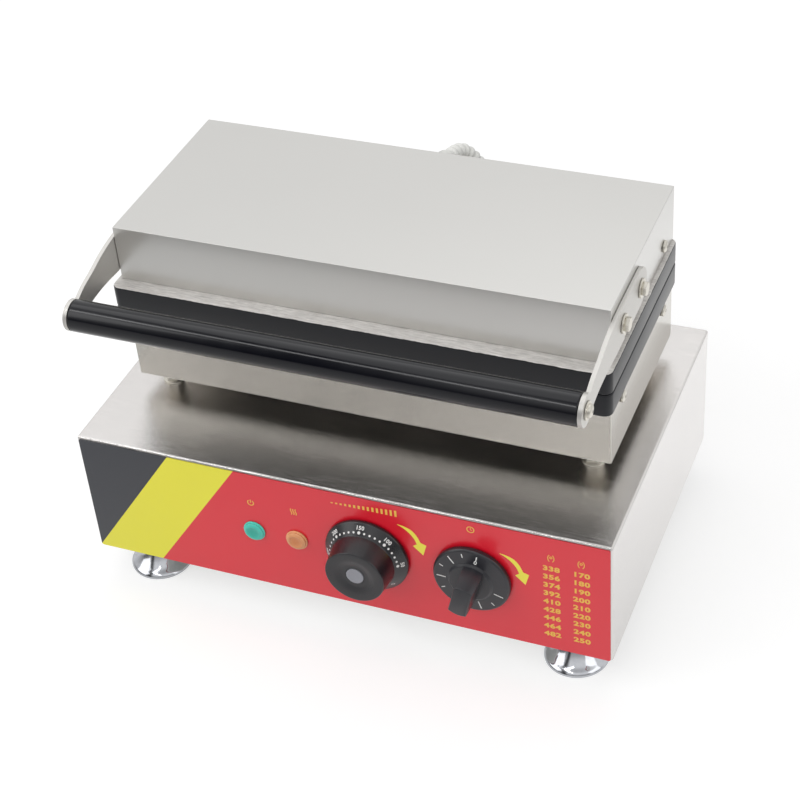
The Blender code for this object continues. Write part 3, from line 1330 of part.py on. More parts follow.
def build_terminal_block():
    length, depth, height = TERMINAL_BLOCK
    low = bottom_plate_top + GAP
    centre = (TERMINAL_X, base_back - TERMINAL_BACK, low + height / 2)
    block = place(boxes_mesh("terminal_block", [(TERMINAL_BLOCK, (0, 0, 0))]), "terminal_block", centre)
    pitch = length / TERMINALS
    holes = [
        (TERMINAL_HOLE_RADIUS, 2 * TERMINAL_HOLE_DEPTH,
         (TERMINAL_X + (i - (TERMINALS - 1) / 2) * pitch, centre[1], low + height), "Z", TINY_ROUND)
        for i in range(TERMINALS)
    ]
    cut(block, cylinders_mesh("terminal_holes", holes), "terminal_holes")
    finish(block, "clear_plastic")


# The joints' axes, and every piece in turn
lid = joint_empty("lid_axis", (0, pin_y, pin_z))
thermostat_dial = joint_empty("thermostat_axis", (THERMOSTAT_X, panel_y, dial_z))
timer_dial = joint_empty("timer_axis", (TIMER_X, panel_y, dial_z))

build_base()
build_bottom_plate()
build_feet()
build_overlay()
build_mains_gland()
build_terminal_block()
build_control("thermostat_body", THERMOSTAT_X, THERMOSTAT_BODY)
build_capillary()
build_control("timer_body", TIMER_X, TIMER_BODY)
build_lamp("power_lamp", POWER_LAMP_X, "green_lens")
build_lamp("heat_lamp", HEAT_LAMP_X, "orange_lens")
build_pillars()
build_lower_housing()
lower_heater_z = lower_plate_bottom - GAP - HEATER_RADIUS
lower_pad_low = lower_bottom + HOUSING_SHEET + PILLAR_THREAD + GAP
build_insulation("lower_insulation", lower_pad_low, lower_heater_z - HEATER_RADIUS - GAP, True)
build_heater("lower_heater", lower_heater_z)
build_plates(lid)
build_plate_screws(lid)
build_hinge(lid)
build_upper_housing(lid)
upper_heater_z = upper_plate_top + GAP + HEATER_RADIUS
upper_pad_high = lid_top - HOUSING_SHEET - GAP
build_insulation("upper_insulation", upper_heater_z + HEATER_RADIUS + GAP, upper_pad_high, False, lid)
build_heater("upper_heater", upper_heater_z, lid)
build_arms(lid)
build_handle(lid)
build_conduit_gland("conduit_gland_lid", (CONDUIT_LID_X, housing_back, conduit_lid_z), FACE_BACK, lid)
build_conduit_gland("conduit_gland_base", (*conduit_base, deck_z), (0, 0, 0))
build_conduit()
build_thermostat_knob(thermostat_dial)
build_timer_knob(timer_dial)
bpy.context.view_layer.update()
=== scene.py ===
import math

import bmesh
import bpy
from mathutils import Matrix, Vector


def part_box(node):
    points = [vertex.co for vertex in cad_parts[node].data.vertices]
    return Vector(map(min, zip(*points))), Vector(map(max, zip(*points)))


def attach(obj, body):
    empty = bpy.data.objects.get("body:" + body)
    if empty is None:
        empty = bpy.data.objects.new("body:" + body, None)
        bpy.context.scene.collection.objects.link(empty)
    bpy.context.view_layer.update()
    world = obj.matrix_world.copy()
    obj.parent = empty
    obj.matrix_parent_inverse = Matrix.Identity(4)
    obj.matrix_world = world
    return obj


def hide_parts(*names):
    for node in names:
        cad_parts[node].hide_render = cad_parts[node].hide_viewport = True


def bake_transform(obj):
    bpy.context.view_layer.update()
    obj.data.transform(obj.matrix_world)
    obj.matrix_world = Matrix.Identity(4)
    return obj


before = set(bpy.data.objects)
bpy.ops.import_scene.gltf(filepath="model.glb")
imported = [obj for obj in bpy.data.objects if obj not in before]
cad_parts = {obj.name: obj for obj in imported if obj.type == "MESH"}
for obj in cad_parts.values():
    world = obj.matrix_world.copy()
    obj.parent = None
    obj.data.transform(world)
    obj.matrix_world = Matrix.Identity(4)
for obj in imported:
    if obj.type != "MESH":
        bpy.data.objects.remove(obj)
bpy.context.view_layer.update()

# The studio: a plain white floor under soft light from above and from both sides.
# The camera looks down on the front right corner from a metre and a half away.
MM = 0.001
CAMERA_PLACE = (0.4632, -0.998, 0.9971)
CAMERA_TURN = (
    (0.92791539, 0.36606875, -0.07047482),  # to the right in the picture
    (-0.17719816, 0.59943621, 0.780562),  # up in the picture
    (0.32798452, -0.71180749, 0.6210928),  # back, away from the object
)
CAMERA_LENS = 84.0
CAMERA_SENSOR = 36.0
CAMERA_REACH = 100.0
FLOOR_HALF = 6.0
FLOOR_COLOUR = 0.55
FLOOR_GLOW = 0.56
FLOOR_MIRRORED = (0.12, 0.62)  # its level as metal mirrors it: in front, and behind the object
FLOOR_WAY = (0.42, 0.91)  # the way over the floor, to the right and back, from one to the other
FLOOR_SHADE = (-0.4, 0.2)
FLOOR_EDGE = (0.55, 1.0)
SKY_SEEN = 1.0
SKY_SCATTERED = (0.42, 1.05)  # its level as plain light: from behind, and from the front
SKY_SCATTER_SHADE = (0.0, -0.9)
SKY_FRONT = (0.05, 0.85)  # its level as metal mirrors it in front: at the floor, and what it gains
SKY_FRONT_RISE = 0.62
SKY_GAP = (-0.385, 0.05, 0.18)  # a dark gap in the front: its middle, and where its edges fade
SKY_GAP_LEVEL = 0.1
SKY_BACK = 0.86
SKY_SHADE = (-0.25, 0.3)
SKY_TOP = (0.75, 0.95)
SKY_TOP_SHARE = 0.35
LIGHT_AIM = (0.0, 0.0, 0.12)
LIGHTS = (  # name, place, width and height, power
    ("overhead", (-0.4, 0.5, 2.4), (2.4, 2.4), 15.5),
    ("front_strip", (-0.85, -1.34, 2.2), (2.6, 0.2), 8.0),
    ("left_window", (-2.2, -1.4, 1.5), (1.8, 1.8), 12.0),
    ("right_window", (2.4, -0.6, 1.3), (1.6, 1.6), 7.0),
)


def maths_of(operation):
    """A Math node as an operator, and as its reflected form, so that 1 - mask works."""
    def plain(self, other):
        return self.maths(operation, self, other)

    def reflected(self, other):
        return self.maths(operation, other, self)

    return plain, reflected


class Socket:
    """An output of a node that sums, products and comparisons can use."""

    __add__, __radd__ = maths_of("ADD")
    __sub__, __rsub__ = maths_of("SUBTRACT")
    __mul__, __rmul__ = maths_of("MULTIPLY")
    __truediv__, __rtruediv__ = maths_of("DIVIDE")
    __pow__, __rpow__ = maths_of("POWER")
    __gt__, __lt__ = maths_of("GREATER_THAN")

    def __init__(self, graph, output):
        self.graph = graph
        self.output = output

    def maths(self, operation, first, second=None):
        values = {0: first} if second is None else {0: first, 1: second}
        return self.graph.add("ShaderNodeMath", {"operation": operation}, values)

    def __abs__(self):
        return self.maths("ABSOLUTE", self)

    def cosine(self):
        return self.maths("COSINE", self)

    def either(self, other):
        return self.maths("MAXIMUM", self, other)

    def clamped(self):
        return self.maths("MINIMUM", self.maths("MAXIMUM", self, 0.0), 1.0)

    def swing(self, share):
        """Noise of 0 to 1 as a change to both sides of nought, a share wide."""
        return (self - 0.5) * share


class Graph:
    """A node tree that grows by one node at a time."""

    def __init__(self, tree):
        self.tree = tree

    def add(self, kind, settings=None, values=None, output=0):
        """A new node; gives the output that is asked for, or all of them where it is None."""
        node = self.tree.nodes.new(kind)
        for name, value in (settings or {}).items():
            setattr(node, name, value)
        for name, value in (values or {}).items():
            self.feed(node.inputs[name], value)
        if output is None:
            return [Socket(self, out) for out in node.outputs]
        return Socket(self, node.outputs[output])

    def feed(self, target, value):
        """Links or sets an input; one number stands for an even grey, three for a solid colour."""
        if isinstance(value, Socket):
            self.tree.links.new(value.output, target)
        elif hasattr(target.default_value, "__len__") and not hasattr(value, "__len__"):
            target.default_value = [value] * 3 + [1.0] * (len(target.default_value) - 3)
        elif hasattr(value, "__len__") and len(target.default_value) == 4 and len(value) == 3:
            target.default_value = (*value, 1.0)
        else:
            target.default_value = value

    def place(self, coordinate="Object"):
        return self.add("ShaderNodeTexCoord", output=coordinate)

    def axes(self, coordinate="Object"):
        """The three parts of the place on the piece, or of another coordinate."""
        return self.add("ShaderNodeSeparateXYZ", None, {0: self.place(coordinate)}, output=None)


class Finish(Graph):
    """A material: a Principled shader and the graph that feeds it."""

    def __init__(self, name, **constants):
        self.material = bpy.data.materials.new(name)
        self.material.use_nodes = True
        super().__init__(self.material.node_tree)
        self.paint(**constants)

    def paint(self, **sockets):
        shader = self.tree.nodes["Principled BSDF"]
        for key, value in sockets.items():
            self.feed(shader.inputs[key.replace("_", " ")], value)
        return self

    def coat(self, shade, rough, height, strength, depth):
        """Paints a colour, a roughness and a bump of a strength, a depth in millimetres."""
        values = {"Height": height, "Strength": strength, "Distance": depth * MM}
        bump = self.add("ShaderNodeBump", None, values)
        return self.paint(Base_Color=shade, Roughness=rough, Normal=bump)

    def noise(self, scale, stretch=(1.0, 1.0, 1.0), detail=3.0, roughness=0.55):
        """Noise of 0 to 1; its grains are one over scale metres, longer where stretch is small."""
        sizes = tuple(scale * part for part in stretch)
        mapped = self.add("ShaderNodeMapping", None, {"Vector": self.place(), "Scale": sizes})
        values = {"Vector": mapped, "Scale": 1.0, "Detail": detail, "Roughness": roughness}
        return self.add("ShaderNodeTexNoise", None, values)

    def mix(self, share, first, second):
        values = {0: share, 6: first, 7: second}
        return self.add("ShaderNodeMix", {"data_type": "RGBA"}, values, output=2)

    def spread(self, level, colour, darker, lighter):
        """A colour that goes with a level of 0 to 1 from a darker to a lighter share of itself."""
        dark, light = (
            tuple(min(1.0, part * share) for part in colour) for share in (darker, lighter)
        )
        return self.mix(level.clamped(), dark, light)


def by_ray(graph, seen, mirrored, scattered):
    """One level for rays from the camera, one for what metal and glass mirror, one for the rest."""
    camera, glossy, glass = (
        graph.add("ShaderNodeLightPath", output=name) for name in
        ("Is Camera Ray", "Is Glossy Ray", "Is Transmission Ray")
    )
    mirror = glossy.either(glass)
    return camera * seen + mirror * mirrored + (1.0 - camera.either(mirror)) * scattered


def rising(place, start, end):
    """0 at the start and before it, 1 at the end and after it."""
    return ((place - start) / (end - start)).clamped()


def between(share, low, high):
    return share * (high - low) + low


def new_object(name, data):
    """A new object in the scene, at the origin, unturned and unscaled."""
    obj = bpy.data.objects.new(name, data)
    bpy.context.scene.collection.objects.link(obj)
    return obj


def mesh_of(bm, name):
    mesh = bpy.data.meshes.new(name)
    bm.to_mesh(mesh)
    bm.free()
    return mesh


def set_camera():
    data = bpy.data.cameras.new("camera")
    data.lens, data.sensor_width, data.clip_end = CAMERA_LENS, CAMERA_SENSOR, CAMERA_REACH
    camera = new_object("camera", data)
    turn = Matrix(CAMERA_TURN).transposed().to_4x4()
    camera.matrix_world = Matrix.Translation(CAMERA_PLACE) @ turn
    bpy.context.scene.camera = camera


def set_sky():
    world = bpy.data.worlds.new("studio")
    world.use_nodes = True
    bpy.context.scene.world = world
    graph = Graph(world.node_tree)
    side, depth, height = graph.axes("Generated")
    low, gain = SKY_FRONT
    gap_place, gap_start, gap_end = SKY_GAP
    gap = rising(abs(side - gap_place), gap_start, gap_end)
    front = (rising(height, 0.0, SKY_FRONT_RISE) * gain + low) * between(gap, SKY_GAP_LEVEL, 1.0)
    top = between(rising(height, *SKY_TOP), 1.0, SKY_TOP_SHARE)
    mirrored = between(rising(depth, *SKY_SHADE), front, SKY_BACK) * top
    scattered = between(rising(depth, *SKY_SCATTER_SHADE), *SKY_SCATTERED)
    background = world.node_tree.nodes["Background"].inputs
    graph.feed(background["Color"], (1.0, 1.0, 1.0))
    graph.feed(background["Strength"], by_ray(graph, SKY_SEEN, mirrored, scattered))


def set_lights():
    for name, place, size, power in LIGHTS:
        data = bpy.data.lights.new(name, "AREA")
        data.shape = "RECTANGLE"
        data.size, data.size_y = size
        data.energy = power
        lamp = new_object(name, data)
        lamp.location = place
        aim = Vector(LIGHT_AIM) - Vector(place)
        lamp.rotation_euler = aim.to_track_quat("-Z", "Y").to_euler()


def set_floor():
    bm = bmesh.new()
    bmesh.ops.create_grid(bm, x_segments=1, y_segments=1, size=FLOOR_HALF)
    mesh = mesh_of(bm, "floor")
    paint = Finish("floor_paint", Base_Color=FLOOR_COLOUR, Roughness=1.0, Specular_IOR_Level=0.0)
    side, back, _ = paint.axes()
    right_share, back_share = FLOOR_WAY
    level = between(rising(side * right_share + back * back_share, *FLOOR_SHADE), *FLOOR_MIRRORED)
    near = 1.0 - rising((side * side + back * back) ** 0.5, *FLOOR_EDGE)
    paint.paint(Emission_Color=by_ray(paint, FLOOR_GLOW, level * near, 0.0), Emission_Strength=1.0)
    mesh.materials.append(paint.material)
    new_object("floor", mesh)


bpy.context.scene.view_settings.view_transform = "Standard"
set_camera()
set_sky()
set_lights()
set_floor()


# The base: one sheet of brushed stainless steel, folded into a box whose top is the deck.
# Its folds have a small radius, its floor is open behind a flange, its front takes the controls.
BASE_SHEET = 1.2 * MM
BASE_FOLD = 1.8 * MM
BASE_FLANGE = 12.0 * MM
FOLD_SEGMENTS = 4
FOLD_ANGLE = 40.0
SHEET_SHARP = 40.0
WELD = 0.002 * MM
OVERRUN = 2.0 * MM
STEEL_LINES = (14.0, 1900.0)  # grains to the metre, along the brush lines and across them
STEEL_STREAKS = (3.0, 260.0)
STEEL_SCRATCHES = (30.0, 5200.0)
STEEL_CLOUDS = 9.0
SIDEWAYS = 0.7  # from here on a face counts as one that looks to a side
PILLARS = ("pillar_front_left", "pillar_front_right", "pillar_rear_left", "pillar_rear_right")
PILLAR_HOLE = 3.8 * MM
BUSH_HOLE = 5.3 * MM
LAMP_HOLE = 6.9 * MM
GLAND_HOLE = 8.3 * MM
CONDUIT_HOLE = 6.8 * MM
CAPILLARY_HOLE = 3.5 * MM
CAPILLARY_INSET = 1.0 * MM
NUT_RADIUS = 6.5 * MM
NUT_HEIGHT = 6.0 * MM


def tint(red, green, blue):
    """A colour as a picture holds it, 0 to 255, as the light that it stands for."""
    parts = [value / 255 for value in (red, green, blue)]
    return tuple(p / 12.92 if p <= 0.04045 else ((p + 0.055) / 1.055) ** 2.4 for p in parts)


def brushed_steel(name, colour, roughness=0.3, contrast=0.05, scratches=0.3, streaks=0.0):
    """Stainless steel with fine brush lines along the piece, and along the depth on its sides."""
    finish = Finish(name, Metallic=1.0)
    side = finish.add("ShaderNodeAttribute", {"attribute_name": "faces_sideways"}, output="Fac")
    grains = []
    for along, over in (STEEL_LINES, STEEL_STREAKS, STEEL_SCRATCHES):
        long_way = finish.noise(1.0, (along, over, over), 2.0)
        side_way = finish.noise(1.0, (over, along, over), 2.0)
        grains.append(long_way + side * (side_way - long_way))
    line, streak, scratch = grains
    clouds = finish.noise(STEEL_CLOUDS, detail=2.0)
    level = line.swing(1.6 * contrast) + streak.swing(1.5 * contrast) + clouds.swing(contrast) + 0.5
    shade = finish.spread(level, colour, 1 - 2 * contrast, 1 + 2 * contrast)
    rough = line.swing(4 * contrast) + clouds.swing(0.06) + roughness
    if not scratches:
        return finish.paint(Base_Color=shade, Roughness=rough)
    return finish.coat(shade, rough, scratch + streak * streaks, scratches, 0.09)


def shaded(mesh, sharp):
    """The mesh shaded smooth, but not over edges that turn by more than an angle."""
    mesh.shade_smooth()
    mesh.set_sharp_from_angle(angle=math.radians(sharp))
    return mesh


def final_mesh(obj, name):
    """The mesh that an object has after its modifiers; the object is used up."""
    bpy.context.view_layer.update()
    final = obj.evaluated_get(bpy.context.evaluated_depsgraph_get())
    mesh = bpy.data.meshes.new_from_object(final)
    bpy.data.objects.remove(obj, do_unlink=True)
    mesh.name = name
    return mesh


def settled(obj, name, sharp):
    """The object's finished mesh, with its doubles merged."""
    mesh = final_mesh(obj, name)
    bm = bmesh.new()
    bm.from_mesh(mesh)
    bmesh.ops.remove_doubles(bm, verts=bm.verts, dist=WELD)
    bm.to_mesh(mesh)
    bm.free()
    return shaded(mesh, sharp)


def weighted(mesh, name):
    """The same mesh with normals that follow its large flats, so that they shade flat."""
    obj = new_object("weighted_shape", mesh)
    obj.modifiers.new("weighted", "WEIGHTED_NORMAL").keep_sharp = True
    return final_mesh(obj, name)


def piece(name, mesh, body, finish, nodes=()):
    """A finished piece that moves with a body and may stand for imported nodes."""
    sideways = mesh.attributes.new("faces_sideways", "FLOAT", "FACE")
    for face, value in zip(mesh.polygons, sideways.data):
        value.value = 1.0 if abs(face.normal.x) > SIDEWAYS else 0.0
    obj = new_object(name, mesh)
    mesh.materials.clear()
    mesh.materials.append(finish.material)
    if body:
        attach(obj, body)
    if nodes:
        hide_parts(*nodes)
    return obj


def add_box(bm, low, high):
    low, high = Vector(low), Vector(high)
    matrix = Matrix.Translation((low + high) / 2) @ Matrix.Diagonal((*(high - low), 1.0))
    bmesh.ops.create_cube(bm, size=1.0, matrix=matrix)


def add_rod(bm, radius, start, end, sides=32):
    """A cylinder from one point to another."""
    start, end = Vector(start), Vector(end)
    turn = (end - start).to_track_quat("Z", "Y").to_matrix().to_4x4()
    bmesh.ops.create_cone(
        bm, cap_ends=True, segments=sides, radius1=radius, radius2=radius,
        depth=(end - start).length, matrix=Matrix.Translation((start + end) / 2) @ turn,
    )


def add_bore(bm, radius, place, axis, start, end, sides=32):
    """A cylinder through a place along x, y or z, from one level on that axis to another."""
    ends = Vector(place), Vector(place)
    for point, level in zip(ends, (start, end)):
        setattr(point, axis, level)
    add_rod(bm, radius, *ends, sides)


def machined(obj, name, sharp, cutters, added=None):
    """The finished mesh of an object after a shape is joined to it and others are cut from it."""
    tools = []
    steps = [(shape, "DIFFERENCE") for shape in cutters]
    if added is not None:
        steps.insert(0, (added, "UNION"))
    for shape, operation in steps:
        bmesh.ops.recalc_face_normals(shape, faces=shape.faces)
        tools.append(new_object("cutter", mesh_of(shape, "cutter")))
        boolean = obj.modifiers.new("cut", "BOOLEAN")
        boolean.operation = operation
        boolean.object = tools[-1]
    mesh = settled(obj, name, sharp)
    for tool in tools:
        bpy.data.objects.remove(tool, do_unlink=True)
    return mesh


def add_bevel(obj, width, segments, angle):
    bevel = obj.modifiers.new("bevel", "BEVEL")
    bevel.width = width
    bevel.segments = segments
    bevel.limit_method = "ANGLE"
    bevel.angle_limit = math.radians(angle)


def folded_shell(low, high, open_face, sheet, fold, flange=0.0):
    """A box of folded sheet as an object: one end open, its folds round, its wall inwards."""
    bm = bmesh.new()
    add_box(bm, low, high)
    bm.normal_update()
    end = max(bm.faces, key=lambda face: face.normal.z * open_face)
    if flange:
        bmesh.ops.inset_region(bm, faces=[end], thickness=flange, use_even_offset=True)
    bmesh.ops.delete(bm, geom=[end], context="FACES")
    obj = new_object("shell", mesh_of(bm, "shell"))
    add_bevel(obj, fold, FOLD_SEGMENTS, FOLD_ANGLE)
    wall = obj.modifiers.new("sheet", "SOLIDIFY")
    wall.thickness = sheet
    wall.offset = -1
    wall.use_even_offset = True
    return obj


def corners(node):
    """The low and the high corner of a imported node's box."""
    return [Vector(corner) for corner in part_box(node)]


def middle(node):
    low, high = corners(node)
    return (low + high) / 2


base_low, base_high = corners("base_housing")
deck_z = base_high.z
panel_y = corners("front_overlay")[0].y
capillary_place = Vector((
    corners("thermostat_capillary")[1].x - CAPILLARY_INSET, middle("lower_housing").y, 0.0,
))


def panel_holes(bm, depth):
    """The holes for both bushes and both lamps, through whatever stands at the front."""
    for node, radius in (
        ("thermostat_shaft", BUSH_HOLE), ("timer_shaft", BUSH_HOLE),
        ("power_lamp_lens", LAMP_HOLE), ("heat_lamp_lens", LAMP_HOLE),
    ):
        add_bore(bm, radius, middle(node), "y", panel_y - depth, panel_y + depth)


def make_base():
    obj = folded_shell(base_low, base_high, -1, BASE_SHEET, BASE_FOLD, BASE_FLANGE)
    nuts, holes = bmesh.new(), bmesh.new()
    above, below, back = deck_z + OVERRUN, deck_z - 2 * OVERRUN, base_high.y
    for place in map(middle, PILLARS):
        sheet_under = deck_z - BASE_SHEET
        add_bore(nuts, NUT_RADIUS, place, "z", deck_z - BASE_SHEET / 2, sheet_under - NUT_HEIGHT)
        add_bore(holes, PILLAR_HOLE, place, "z", above, below - NUT_HEIGHT)
    add_bore(holes, CONDUIT_HOLE, middle("conduit_gland_base"), "z", above, below)
    add_bore(holes, CAPILLARY_HOLE, capillary_place, "z", above, below)
    add_bore(holes, GLAND_HOLE, middle("mains_gland"), "y", back + OVERRUN, back - 2 * OVERRUN)
    panel_holes(holes, 2 * BASE_SHEET + OVERRUN)
    mesh = weighted(machined(obj, "base_shell", SHEET_SHARP, [holes], nuts), "base_shell")
    steel = brushed_steel("base_steel", tint(229, 226, 224), 0.22, 0.03, 0.7, 0.15)
    piece("base_shell", mesh, "base", steel, ["base_housing"])


make_base()


# The bottom plate: a sheet cover with air slots, of the same steel with a plainer finish.
# It is screwed to the base's flange, and nuts pressed into it take the feet.
def dress(finish, *nodes):
    """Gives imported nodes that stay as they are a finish."""
    for node in nodes:
        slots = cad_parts[node].data.materials
        slots.clear()
        slots.append(finish.material)


plain_steel = brushed_steel("plain_steel", tint(205, 205, 200), 0.34, 0.04)
dress(plain_steel, "base_bottom_plate")


# The feet: four flared, chromed steel feet that screw into the bottom plate with their studs.
# The flare is turned from one piece; its lip stands on the table.
FEET = ("foot_front_left", "foot_front_right", "foot_rear_left", "foot_rear_right")
FOOT_SIDES = 72
FOOT_HOLLOW = 0.6 * MM
FOOT_TREAD = (4.0 * MM, 3.0 * MM)  # how far its inner edge and its low edge stand in
FOOT_LIP = 2.0 * MM
FOOT_NECK = 9.0 * MM
FOOT_STUD = 4.0 * MM
FOOT_TOP = 28.2 * MM
FOOT_FLARE = ((1.0, 0.0), (0.92, 0.06), (0.66, 0.18), (0.36, 0.37), (0.1, 0.64), (0.0, 0.9))
FOOT_CURVE_STEPS = 5
SHARP = 35.0
UPRIGHT = (0.0, 0.0, 0.0)


def eased(profile, steps=5):
    """A profile in which a point's third value, if it has one, rounds its corner by that much."""
    out = []
    for i, point in enumerate(profile):
        here = Vector(point[:2])
        if len(point) < 3:
            out.append(here)
            continue
        before = Vector(profile[i - 1][:2])
        after = Vector(profile[(i + 1) % len(profile)][:2])
        start = here + (before - here).normalized() * point[2]
        end = here + (after - here).normalized() * point[2]
        for k in range(steps + 1):
            t = k / steps
            out.append((1 - t) ** 2 * start + 2 * t * (1 - t) * here + t ** 2 * end)
    return out


def smooth_line(points, steps):
    """Points along a smooth curve through the given ones."""
    points = [Vector(point) for point in points]
    ends = [points[0], *points, points[-1]]
    out = []
    for a, b, c, d in zip(ends, ends[1:], ends[2:], ends[3:]):
        for k in range(steps):
            t = k / steps
            square, cube = (2 * a - 5 * b + 4 * c - d) * t ** 2, (3 * b - a - 3 * c + d) * t ** 3
            out.append(0.5 * (2 * b + (c - a) * t + square + cube))
    return [tuple(point) for point in (*out, points[-1])]


def spun(profile, sides, matrix=Matrix.Identity(4), closed=False):
    """A turned shape about Z, from (radius, height) points; a closed profile is a ring."""
    bm = bmesh.new()
    rings = []
    for radius, height in profile:
        if radius < WELD:
            rings.append([bm.verts.new(matrix @ Vector((0, 0, height)))] * sides)
            continue
        angles = [2 * math.pi * i / sides for i in range(sides)]
        rings.append([
            bm.verts.new(matrix @ Vector((radius * math.cos(a), radius * math.sin(a), height)))
            for a in angles
        ])
    pairs = list(zip(rings, rings[1:]))
    if closed:
        pairs.append((rings[-1], rings[0]))
    for upper, lower in pairs:
        for i in range(sides):
            j = (i + 1) % sides
            face = dict.fromkeys((upper[i], lower[i], lower[j], upper[j]))
            if len(face) > 2:
                bm.faces.new(face)
    bmesh.ops.recalc_face_normals(bm, faces=bm.faces)
    return bm


def finished(bm, name, sharp=SHARP):
    """A mesh of a shape built here, with its doubles merged and its sharp edges marked."""
    bmesh.ops.remove_doubles(bm, verts=bm.verts, dist=WELD)
    bmesh.ops.recalc_face_normals(bm, faces=bm.faces)
    return shaded(mesh_of(bm, name), sharp)


def open_tree(name, inputs):
    """A node tree with named inputs, each (name, kind, value); gives its graph and sockets."""
    tree = bpy.data.node_groups.new(name, "GeometryNodeTree")
    for label, kind, value in inputs:
        socket = tree.interface.new_socket(label, in_out="INPUT", socket_type="NodeSocket" + kind)
        if value is not None:
            socket.default_value = value
    tree.interface.new_socket("Pieces", in_out="OUTPUT", socket_type="NodeSocketGeometry")
    graph = Graph(tree)
    return graph, graph.add("NodeGroupInput", output=None)[:len(inputs)]


def close_tree(graph, pieces, coat):
    """Ends a tree: what it made is real and has its finish."""
    real = graph.add("GeometryNodeRealizeInstances", None, {"Geometry": pieces})
    coated = graph.add("GeometryNodeSetMaterial", None, {"Geometry": real, "Material": coat})
    graph.add("NodeGroupOutput", None, {"Pieces": coated}, output=None)
    return graph.tree


def make_repeater():
    """A node tree that sets one shape on every place, turned as that place says."""
    graph, (places, shape, coat) = open_tree("set_on_places", (
        ("Places", "Geometry", None), ("Shape", "Object", None), ("Finish", "Material", None),
    ))
    turn = graph.add(
        "GeometryNodeInputNamedAttribute", {"data_type": "FLOAT_VECTOR"}, {"Name": "turn"}
    )
    form = graph.add("GeometryNodeObjectInfo", None, {"Object": shape}, output="Geometry")
    values = {"Points": places, "Instance": form, "Rotation": turn}
    return close_tree(graph, graph.add("GeometryNodeInstanceOnPoints", None, values), coat)


def run_tree(tree, obj, name, **inputs):
    """The mesh that a node tree makes of an object; the object is used up."""
    modifier = obj.modifiers.new(name, "NODES")
    modifier.node_group = tree
    for item in tree.interface.items_tree:
        if item.item_type == "SOCKET" and item.in_out == "INPUT" and item.name in inputs:
            modifier[item.identifier] = inputs[item.name]
    return final_mesh(obj, name)


repeater = make_repeater()


def set_on_places(name, shape, places, finish, sharp=SHARP):
    """One mesh of a shape set at each (place, turn)."""
    points = bpy.data.meshes.new(name + "_places")
    points.from_pydata([place for place, turn in places], [], [])
    turns = points.attributes.new("turn", "FLOAT_VECTOR", "POINT")
    for (place, turn), value in zip(places, turns.data):
        value.vector = turn
    form = new_object(name + "_form", shape)
    mesh = run_tree(repeater, new_object(name, points), name, Shape=form, Finish=finish.material)
    bpy.data.objects.remove(form, do_unlink=True)
    return shaded(mesh, sharp)


def chromed(name):
    """Polished chrome plate: nearly a mirror, with faint wipe marks and a few duller spots."""
    finish = Finish(name, Metallic=1.0)
    wipes = finish.noise(60.0, (1.0, 1.0, 0.25))
    clouds = finish.noise(240.0, detail=2.0)
    shade = finish.mix(clouds, tint(190, 192, 198), tint(210, 212, 216))
    rough = wipes.swing(0.08) + clouds.swing(0.05) + 0.11
    return finish.coat(shade, rough.clamped(), wipes, 0.04, 0.05)


def make_feet():
    low, high = corners(FEET[0])
    radius = (high.x - low.x) / 2
    tread_in, tread_edge = FOOT_TREAD
    flare = [
        (FOOT_NECK + (radius - FOOT_NECK) * out, FOOT_LIP + (FOOT_TOP - FOOT_LIP) * up)
        for out, up in FOOT_FLARE
    ]
    profile = eased([
        (0, FOOT_HOLLOW), (radius - tread_in, FOOT_HOLLOW), (radius - tread_edge, 0),
        (radius, 0, 0.5 * MM), *smooth_line(flare, FOOT_CURVE_STEPS),
        (FOOT_NECK, FOOT_TOP, 0.5 * MM), (FOOT_STUD, FOOT_TOP), (FOOT_STUD, high.z, 0.4 * MM),
        (0, high.z),
    ])
    shape = finished(spun(profile, FOOT_SIDES), "foot_form")
    chrome = chromed("foot_chrome")
    places = [((*middle(node).xy, 0.0), UPRIGHT) for node in FEET]
    piece("feet", set_on_places("feet", shape, places, chrome), "base", chrome, FEET)


make_feet()


# The front film: a printed polyester film, glued to the base's front between narrow steel edges.
# Its field is red, with a dark end and a yellow stripe that leans.
FILM_CORNER = 1.5 * MM
FILM_ORIGIN = (-205.0 * MM, 138.0 * MM)
DARK_EDGE = ((76.0 * MM, 0.0), (1.9 * MM, -105.7 * MM))  # from the film's top to its foot
STRIPE_EDGE = ((129.4 * MM, 0.0), (55.3 * MM, -106.4 * MM))
FILM_COLOURS = (tint(20, 25, 38), tint(240, 233, 44), tint(226, 22, 44))
FRONT = Matrix(((1, 0, 0, 0), (0, 0, -1, 0), (0, 1, 0, 0), (0, 0, 0, 1)))


def right_of(x, z, line):
    """1 right of a line over the film."""
    (top_x, top_z), (foot_x, foot_z) = line
    left, up = FILM_ORIGIN
    lean = (top_x - foot_x) / (top_z - foot_z)
    return x > (z - (top_z + up)) * lean + (top_x + left)


def printed_film():
    finish = Finish("printed_film", Specular_IOR_Level=0.5, Coat_Weight=0.85, Coat_Roughness=0.17)
    x, _, z = finish.axes()
    grain = finish.noise(2600.0, detail=2.0)
    clouds = finish.noise(14.0)
    level = grain * 0.5 + clouds * 0.5
    dark, yellow, red = (finish.spread(level, colour, 0.93, 1.07) for colour in FILM_COLOURS)
    left = finish.mix(right_of(x, z, DARK_EDGE), dark, yellow)
    whole = finish.mix(right_of(x, z, STRIPE_EDGE), left, red)
    return finish.coat(whole, grain.swing(0.1) + clouds.swing(0.12) + 0.36, grain, 0.08, 0.01)


